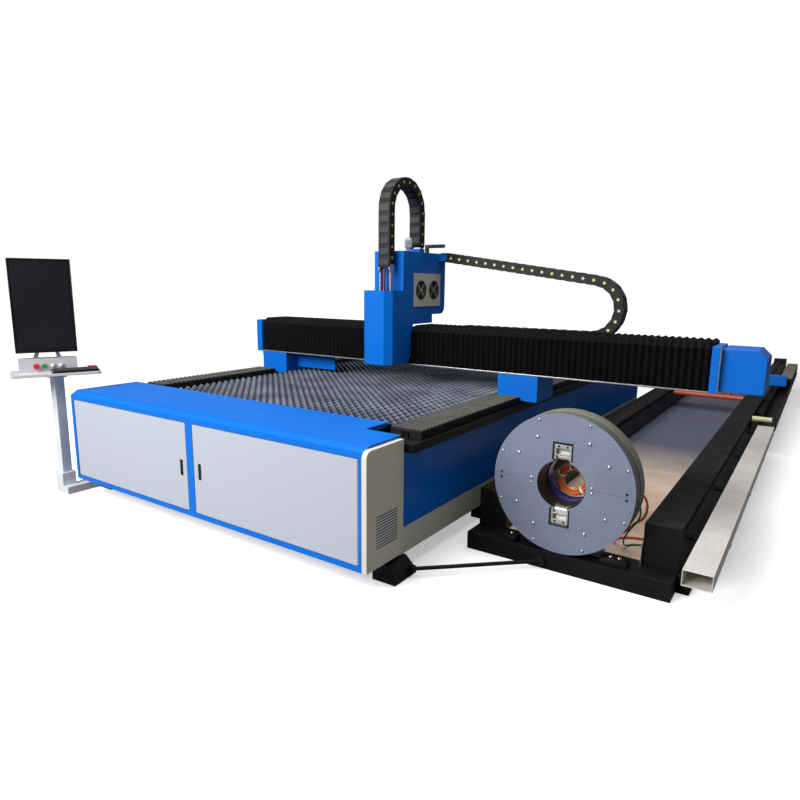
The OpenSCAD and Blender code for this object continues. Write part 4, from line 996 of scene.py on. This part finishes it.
Z_CHAIN = chain_finish("z_chain_plastic", 0.050, (0.012, 0.012, 0.014), (0.50, 0.40, 0.09))
X_CHAIN = chain_finish("x_chain_plastic", 0.050, (0.012, 0.012, 0.013), (0.55, 0.56, 0.26))
Y_CHAIN = chain_finish("y_chain_plastic", 0.040, (0.012, 0.012, 0.013), (0.42, 0.40, 0.36))
dress_slides()
Z_SIZES = (LINK, Z_LINKS, Z_RISE, math.pi * Z_BEND)
dress_chain("z_chain", z_pin, Z_SIZES, (1, 0, 0), Z_CHAIN)
X_SIZES = (LINK, X_LINKS, X_RUN, (math.pi - X_SLOPE) * X_BEND)
dress_chain("x_chain", x_pin, X_SIZES, (0, 1, 0), X_CHAIN)
Y_SIZES = (Y_LINK, Y_LINKS, Y_RUN, math.pi * Y_BEND)
dress_chain("y_chain", y_pin, Y_SIZES, (1, 0, 0), Y_CHAIN, bars=False)
keep("y_rails", RAIL_BLACK)


# Gantry and head

STRIP_STANDS, STRIP_FROM, STRIP_TO, STRIP_EDGE = 0.0015, 0.002, 0.010, 0.0004
END_PLATE, END_FACE, END_EDGE = 1275, 1276.5, 0.0005
FAN_X, FAN_Z, FAN_PLACES = -860, 1504, (1842, 2030)
GUARD_RINGS, GUARD_WIRE = (20, 38, 56, 70), 3


def dress_gantry():
    keep("gantry_beam", RAIL_BLACK)
    softened("gantry_legs", 0.004, BLUE)
    softened("gantry_cap", 0.006, BLUE, segments=3)
    softened("gantry_housing", 0.005, BLUE, segments=3)
    low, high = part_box("gantry_beam")
    strip_low = (low.x, low.y - STRIP_STANDS, low.z + STRIP_FROM)
    strip_high = (high.x, low.y, low.z + STRIP_TO)
    block_piece("beam_edge_strip", "gantry", STEEL, strip_low, strip_high, STRIP_EDGE)
    plate_low, plate_high = at(END_PLATE, 1703, 940), at(END_FACE, 1748, 1206)
    block_piece("end_plate_facing", "gantry", GREIGE, plate_low, plate_high, END_EDGE)
    # Black discs as painted shade for the end plate's two holes
    holes = [at(END_FACE, 1730, z) for z in (1062, 1098)]
    hole_shade_discs("end_plate_hole_shade", "gantry", holes, 6, (1, 0, 0), steps=16)


def dress_head():
    softened("head_housing", 0.004, BLUE, segments=3)
    softened("fan_panel", 0.001, GREIGE)
    keep("fan_front", PLASTIC)
    keep("fan_rear", PLASTIC)
    softened("gas_filter", 0.003, FILTER)
    softened("cutting_head", 0.0015, STEEL)
    keep("head_cables", LEAD)
    bm = bmesh.new()
    w = GUARD_WIRE
    for y in FAN_PLACES:
        for r in GUARD_RINGS:
            wire = [(r - w, 0), (r - w, w / 2), (r, w), (r + w, w / 2), (r + w, 0), (r - w, 0)]
            turned(bm, wire, at(FAN_X, y, FAN_Z), (1, 0, 0), steps=40)
    close_up(bm)
    piece_from(bm, "fan_guards", "carriage", PLASTIC)


dress_gantry()
dress_head()


# Tube station

JAW_HALF, JAW_FACE, JAW_HOLES = 48, 845, 209
FRAME_FROM, FRAME_TO, FRAME_WIDE, FRAME_STANDS, FRAME_EDGE = 134, 234, 8, 1.2, 0.0004
CLAMP_TOP, CAST_EDGE, GUARD_EDGE = 144, 0.003, 0.0008


def dress_tube_station():
    softened("tube_end_beams", 0.004, RAIL_BLACK)
    softened("tube_rail_left", 0.003, RAIL_BLACK)
    softened("tube_rail_right", 0.003, RAIL_BLACK)
    keep("tray_plates", TRAY)
    softened("red_tube", 0.002, RED_PAINT)
    softened("tie_rod", 0.002, BLACK)
    softened("cable_duct", 0.001, DUCT)
    softened("chain_trough", 0.001, TROUGH)
    softened("chain_roller", 0.003, ROLLER)
    softened("chuck_housing", 0.003, DRUM)
    softened("chuck_liner", 0.002, DEEP_BLUE)
    softened("chuck_rotor", 0.002, CHUCK)
    softened("jaw_top", 0.0015, JAW)
    softened("jaw_bottom", 0.0015, JAW)
    softened("feed_carriage", 0.004, BLUE)
    softened("feed_chuck", 0.002, CHUCK)


def jaw_frame(bm, side):
    """Add the three strips round a jaw's pocket, above or below the bore."""
    x, y, z = CHUCK_FACE
    low, high = sorted((z + side * FRAME_FROM, z + side * FRAME_TO))
    for hand in (-1, 1):
        left, right = sorted((hand * JAW_HALF, hand * (JAW_HALF + FRAME_WIDE)))
        block(bm, at(x + left, y - FRAME_STANDS, low), at(x + right, y, high), FRAME_EDGE)
    low, high = sorted((z + side * (FRAME_TO - FRAME_WIDE), z + side * FRAME_TO))
    block(bm, at(x - JAW_HALF, y - FRAME_STANDS, low), at(x + JAW_HALF, y, high), FRAME_EDGE)


def dress_chuck():
    """Bolts, black discs as painted shade in holes, and black jaw frames on the turning face."""
    x, y, z = CHUCK_FACE
    front = (0, -1, 0)

    def circle(reach, degrees):
        turns = [math.radians(d) for d in degrees]
        return [at(x + reach * math.cos(t), y, z + reach * math.sin(t)) for t in turns]

    inner = circle(284, (30, 60, 120, 150, 210, 240, 300, 330))
    outer = circle(368, (22, 68, 112, 158, 202, 248, 292, 338))
    by_bore = [at(x + a, y, z + b) for a in (-166, 166) for b in (-14, 14)]
    dowels = [at(x + a, y, z + b) for a in (-344, 344) for b in (-16, 16)]
    bolt_heads("chuck_bolts", "chuck", inner, 10, front, BOLT)
    bolt_heads("chuck_rim_bolts", "chuck", outer, 8, front, BOLT)
    bolt_heads("chuck_bore_bolts", "chuck", by_bore, 7, front, BOLT)
    # Black discs as painted shade for the dowel holes
    hole_shade_discs("chuck_dowel_hole_shade", "chuck", dowels, 7, front)
    bm = bmesh.new()
    for side in (-1, 1):
        jaw_frame(bm, side)
    piece_from(bm, "jaw_frames", "chuck", PLASTIC)
    for side, jaw in ((1, "jaw_top"), (-1, "jaw_bottom")):
        # Black discs as painted shade for the holes in each jaw
        holes = [at(x + a, JAW_FACE, z + side * JAW_HOLES) for a in (-24, 24)]
        hole_shade_discs(jaw + "_hole_shade", jaw, holes, 6, front)


def dress_front_beam():
    """Clamps of the chuck's foot on the front beam, a wedge foot and a guard strip by the rail."""
    bm = bmesh.new()
    top = CLAMP_TOP
    right = [(905, 106), (1045, 106), (1045, 128), (1020, top), (930, top), (905, 128)]
    left = [(362, 106), (432, 106), (432, 136), (418, top), (362, top)]
    prism(bm, right, 868, 946)
    prism(bm, left, 850, 924)
    round_edges(bm, CAST_EDGE)
    piece_from(bm, "chuck_clamps", "machine", RAIL_BLACK)
    heads = [at(955, 895, top), at(1000, 895, top), at(397, 885, top)]
    bolt_heads("clamp_bolts", "machine", heads, 12, (0, 0, 1), BOLT)
    bm = bmesh.new()
    prism(bm, [(1270, 0), (1334, 0), (1334, 26), (1292, 100), (1270, 100)], 975, 1110)
    round_edges(bm, CAST_EDGE)
    piece_from(bm, "rail_wedge_foot", "machine", RAIL_BLACK)
    low, high = at(1086, 974, 107), at(1089.8, 1029, 217)
    block_piece("rail_guard_strip", "machine", STEEL, low, high, GUARD_EDGE)


dress_tube_station()
dress_chuck()
dress_front_beam()


# Console

CONSOLE_X, CONSOLE_TURN = -2820, math.radians(65)
BEZEL_LEFT, BEZEL_RIGHT, BEZEL_LOW, BEZEL_HIGH = -239, 149, 1043, 1701.5
BEZEL_WIDE, BEZEL_DEEP, BEZEL_EDGE = 6, 3.0, 0.001
KEYBOARD_AT, KEYBOARD_TURN = (120, -82, 905.3), math.radians(4)
KEYBOARD_LOW, KEYBOARD_RISE, KEYBOARD_DEEP, FIRST_ROW = 12, 10, 110, 15
KEY_ROWS, KEY_COLUMNS, KEY_STEP, ROW_STEP = 5, 15, 19, 20
KEY_HALF, KEY_SINK, KEY_STANDS, KEY_EDGE = (7.5, 8), 1, 4.5, 0.001


def dress_console():
    softened("console_stand", 0.003, POLE)
    softened("console_shelf", 0.003, WHITE)
    softened("control_box", 0.004, WHITE)
    softened("estop", 0.003, RED, inner=False)
    softened("start_button", 0.002, GREEN)
    softened("monitor", 0.004, PLASTIC, segments=3)
    softened("keyboard", 0.002, PLASTIC)


def console_at(x, y, z):
    """A point on the console top's own axes, x to the operator's right and y away."""
    cos, sin = math.cos(CONSOLE_TURN), math.sin(CONSOLE_TURN)
    return at(CONSOLE_X + x * cos - y * sin, x * sin + y * cos, z)


def console_block(bm, low, high, width):
    """Add a box on the console top's axes, with rounded edges."""
    size = [(b - a) / 1000 for a, b in zip(low, high)]
    middle = console_at(*[(a + b) / 2 for a, b in zip(low, high)])
    turn = Matrix.Rotation(CONSOLE_TURN, 4, "Z")
    rounded_box(bm, Matrix.Translation(middle) @ turn, size, width, segments=1)


def console_piece(name, body, finish, low, high, width):
    """A piece that is one rounded box on the console top's axes."""
    bm = bmesh.new()
    console_block(bm, low, high, width)
    piece_from(bm, name, body, finish)


def make_bezel():
    """The raised frame round the screen, in four strips."""
    bm = bmesh.new()
    inner_left, inner_right = BEZEL_LEFT + BEZEL_WIDE, BEZEL_RIGHT - BEZEL_WIDE
    for x in (BEZEL_LEFT, inner_right):
        low, high = (x, -BEZEL_DEEP, BEZEL_LOW), (x + BEZEL_WIDE, 0, BEZEL_HIGH)
        console_block(bm, low, high, BEZEL_EDGE)
    for z in (BEZEL_LOW, BEZEL_HIGH - BEZEL_WIDE):
        low, high = (inner_left, -BEZEL_DEEP, z), (inner_right, 0, z + BEZEL_WIDE)
        console_block(bm, low, high, BEZEL_EDGE)
    piece_from(bm, "monitor_bezel", "monitor", PLASTIC)


def make_keys():
    """Rows of key caps on the sloping, slightly turned keyboard."""
    bm = bmesh.new()
    across, away = KEY_HALF
    for row in range(KEY_ROWS):
        y = KEYBOARD_AT[1] + ROW_STEP * (row - KEY_ROWS // 2)
        slope = KEYBOARD_RISE * (row * ROW_STEP + FIRST_ROW) / KEYBOARD_DEEP
        top = KEYBOARD_AT[2] + KEYBOARD_LOW + slope
        for column in range(KEY_COLUMNS):
            x = KEYBOARD_AT[0] + KEY_STEP * (column - KEY_COLUMNS // 2)
            low = (x - across, y - away, top - KEY_SINK)
            high = (x + across, y + away, top + KEY_STANDS)
            console_block(bm, low, high, KEY_EDGE)
    turn = Matrix.Rotation(KEYBOARD_TURN, 3, "Z")
    bmesh.ops.rotate(bm, verts=bm.verts, cent=console_at(*KEYBOARD_AT), matrix=turn)
    piece_from(bm, "keyboard_keys", "console", KEY)


def dress_console_top():
    """Screen and its frame, pendant cover, power light, lamps and keys."""
    front = console_at(0, -1, 0) - console_at(0, 0, 0)
    console_piece("screen_pane", "monitor", GLASS, (-218, -1.0, 1074), (128, 0, 1682), 0.0004)
    make_bezel()
    console_piece("pendant_cover", "console", RED, (209, -3, 923.5), (271, 63, 929), 0.002)
    lens = [(0, 0), (3, 0), (3, 0.6), (0, 1.2)]
    turned_piece("power_light", "monitor", LED, lens, [console_at(120, 0, 1054)], front, steps=16)
    lamps = [console_at(x, -18, 947.3) for x in (-17, 35)]
    bolt_heads("panel_lamps", "console", lamps, 12, front, LAMP)
    make_keys()


dress_console()
dress_console_top()


# Floor and light

FLOOR_HALF, FLOOR_DROP = 90, 0.0005
FLOOR_BOUNCE, FLOOR_SEEN = (0.22, 0.22, 0.22, 1), (0.84, 0.84, 0.84, 1)
GLOW_FROM, GLOW_TO, GLOW_NEAR = 5.0, 11.0, 0.42
SKY_BOUNCE = 0.17
WHITE_LIGHT = (1, 1, 1, 1)


def make_stage():
    """Pale floor: white far away and to the camera, dimmer as a source of bounced light."""
    bm = bmesh.new()
    bmesh.ops.create_grid(bm, x_segments=1, y_segments=1, size=FLOOR_HALF)
    mesh = bpy.data.meshes.new("floor")
    bm.to_mesh(mesh)
    bm.free()
    material, tree, shader = new_finish("pale_floor", Roughness=0.9, Specular_IOR_Level=0.1)
    shader.inputs["Emission Color"].default_value = WHITE_LIGHT
    to_camera = add(tree, "ShaderNodeLightPath").outputs["Is Camera Ray"]
    tone = mix_color(tree, to_camera, FLOOR_BOUNCE, FLOOR_SEEN)
    tree.links.new(tone, shader.inputs["Base Color"])
    reach = reckon_vector(tree, "LENGTH", spot_of(tree), result="Value")
    fade = ramp(tree, reach, GLOW_FROM, GLOW_TO, low=GLOW_NEAR)
    glow = reckon(tree, "MULTIPLY", fade, to_camera)
    tree.links.new(glow, shader.inputs["Emission Strength"])
    mesh.materials.append(material)
    floor = show("floor", mesh)
    floor.location.z = -FLOOR_DROP


def make_world():
    """Even white sky: full to the camera, dimmer as light and in reflections."""
    world = bpy.data.worlds.new("studio")
    bpy.context.scene.world = world
    world.use_nodes = True
    tree = world.node_tree
    sky = tree.nodes["Background"]
    path = add(tree, "ShaderNodeLightPath")
    seen, through = path.outputs["Is Camera Ray"], path.outputs["Is Transmission Ray"]
    level = ramp(tree, reckon(tree, "MAXIMUM", seen, through), 0.0, 1.0, low=SKY_BOUNCE)
    tree.links.new(level, sky.inputs["Strength"])
    sky.inputs["Color"].default_value = WHITE_LIGHT


def softbox(name, place, aim, size, power):
    lamp = bpy.data.lights.new(name, "AREA")
    lamp.shape = "RECTANGLE"
    lamp.size, lamp.size_y = size
    lamp.energy = power
    lit = show(name, lamp)
    lit.location = place
    lit.rotation_euler = (Vector(aim) - Vector(place)).to_track_quat("-Z", "Y").to_euler()


make_stage()
make_world()
softbox("key_light", at(-2600, -5200, 4600), aim=at(-500, 1200, 600), size=(5, 4), power=900)
softbox("top_light", at(-600, 2600, 6500), aim=at(-600, 2400, 0), size=(6, 7), power=420)
bpy.context.scene.view_settings.view_transform = "Standard"
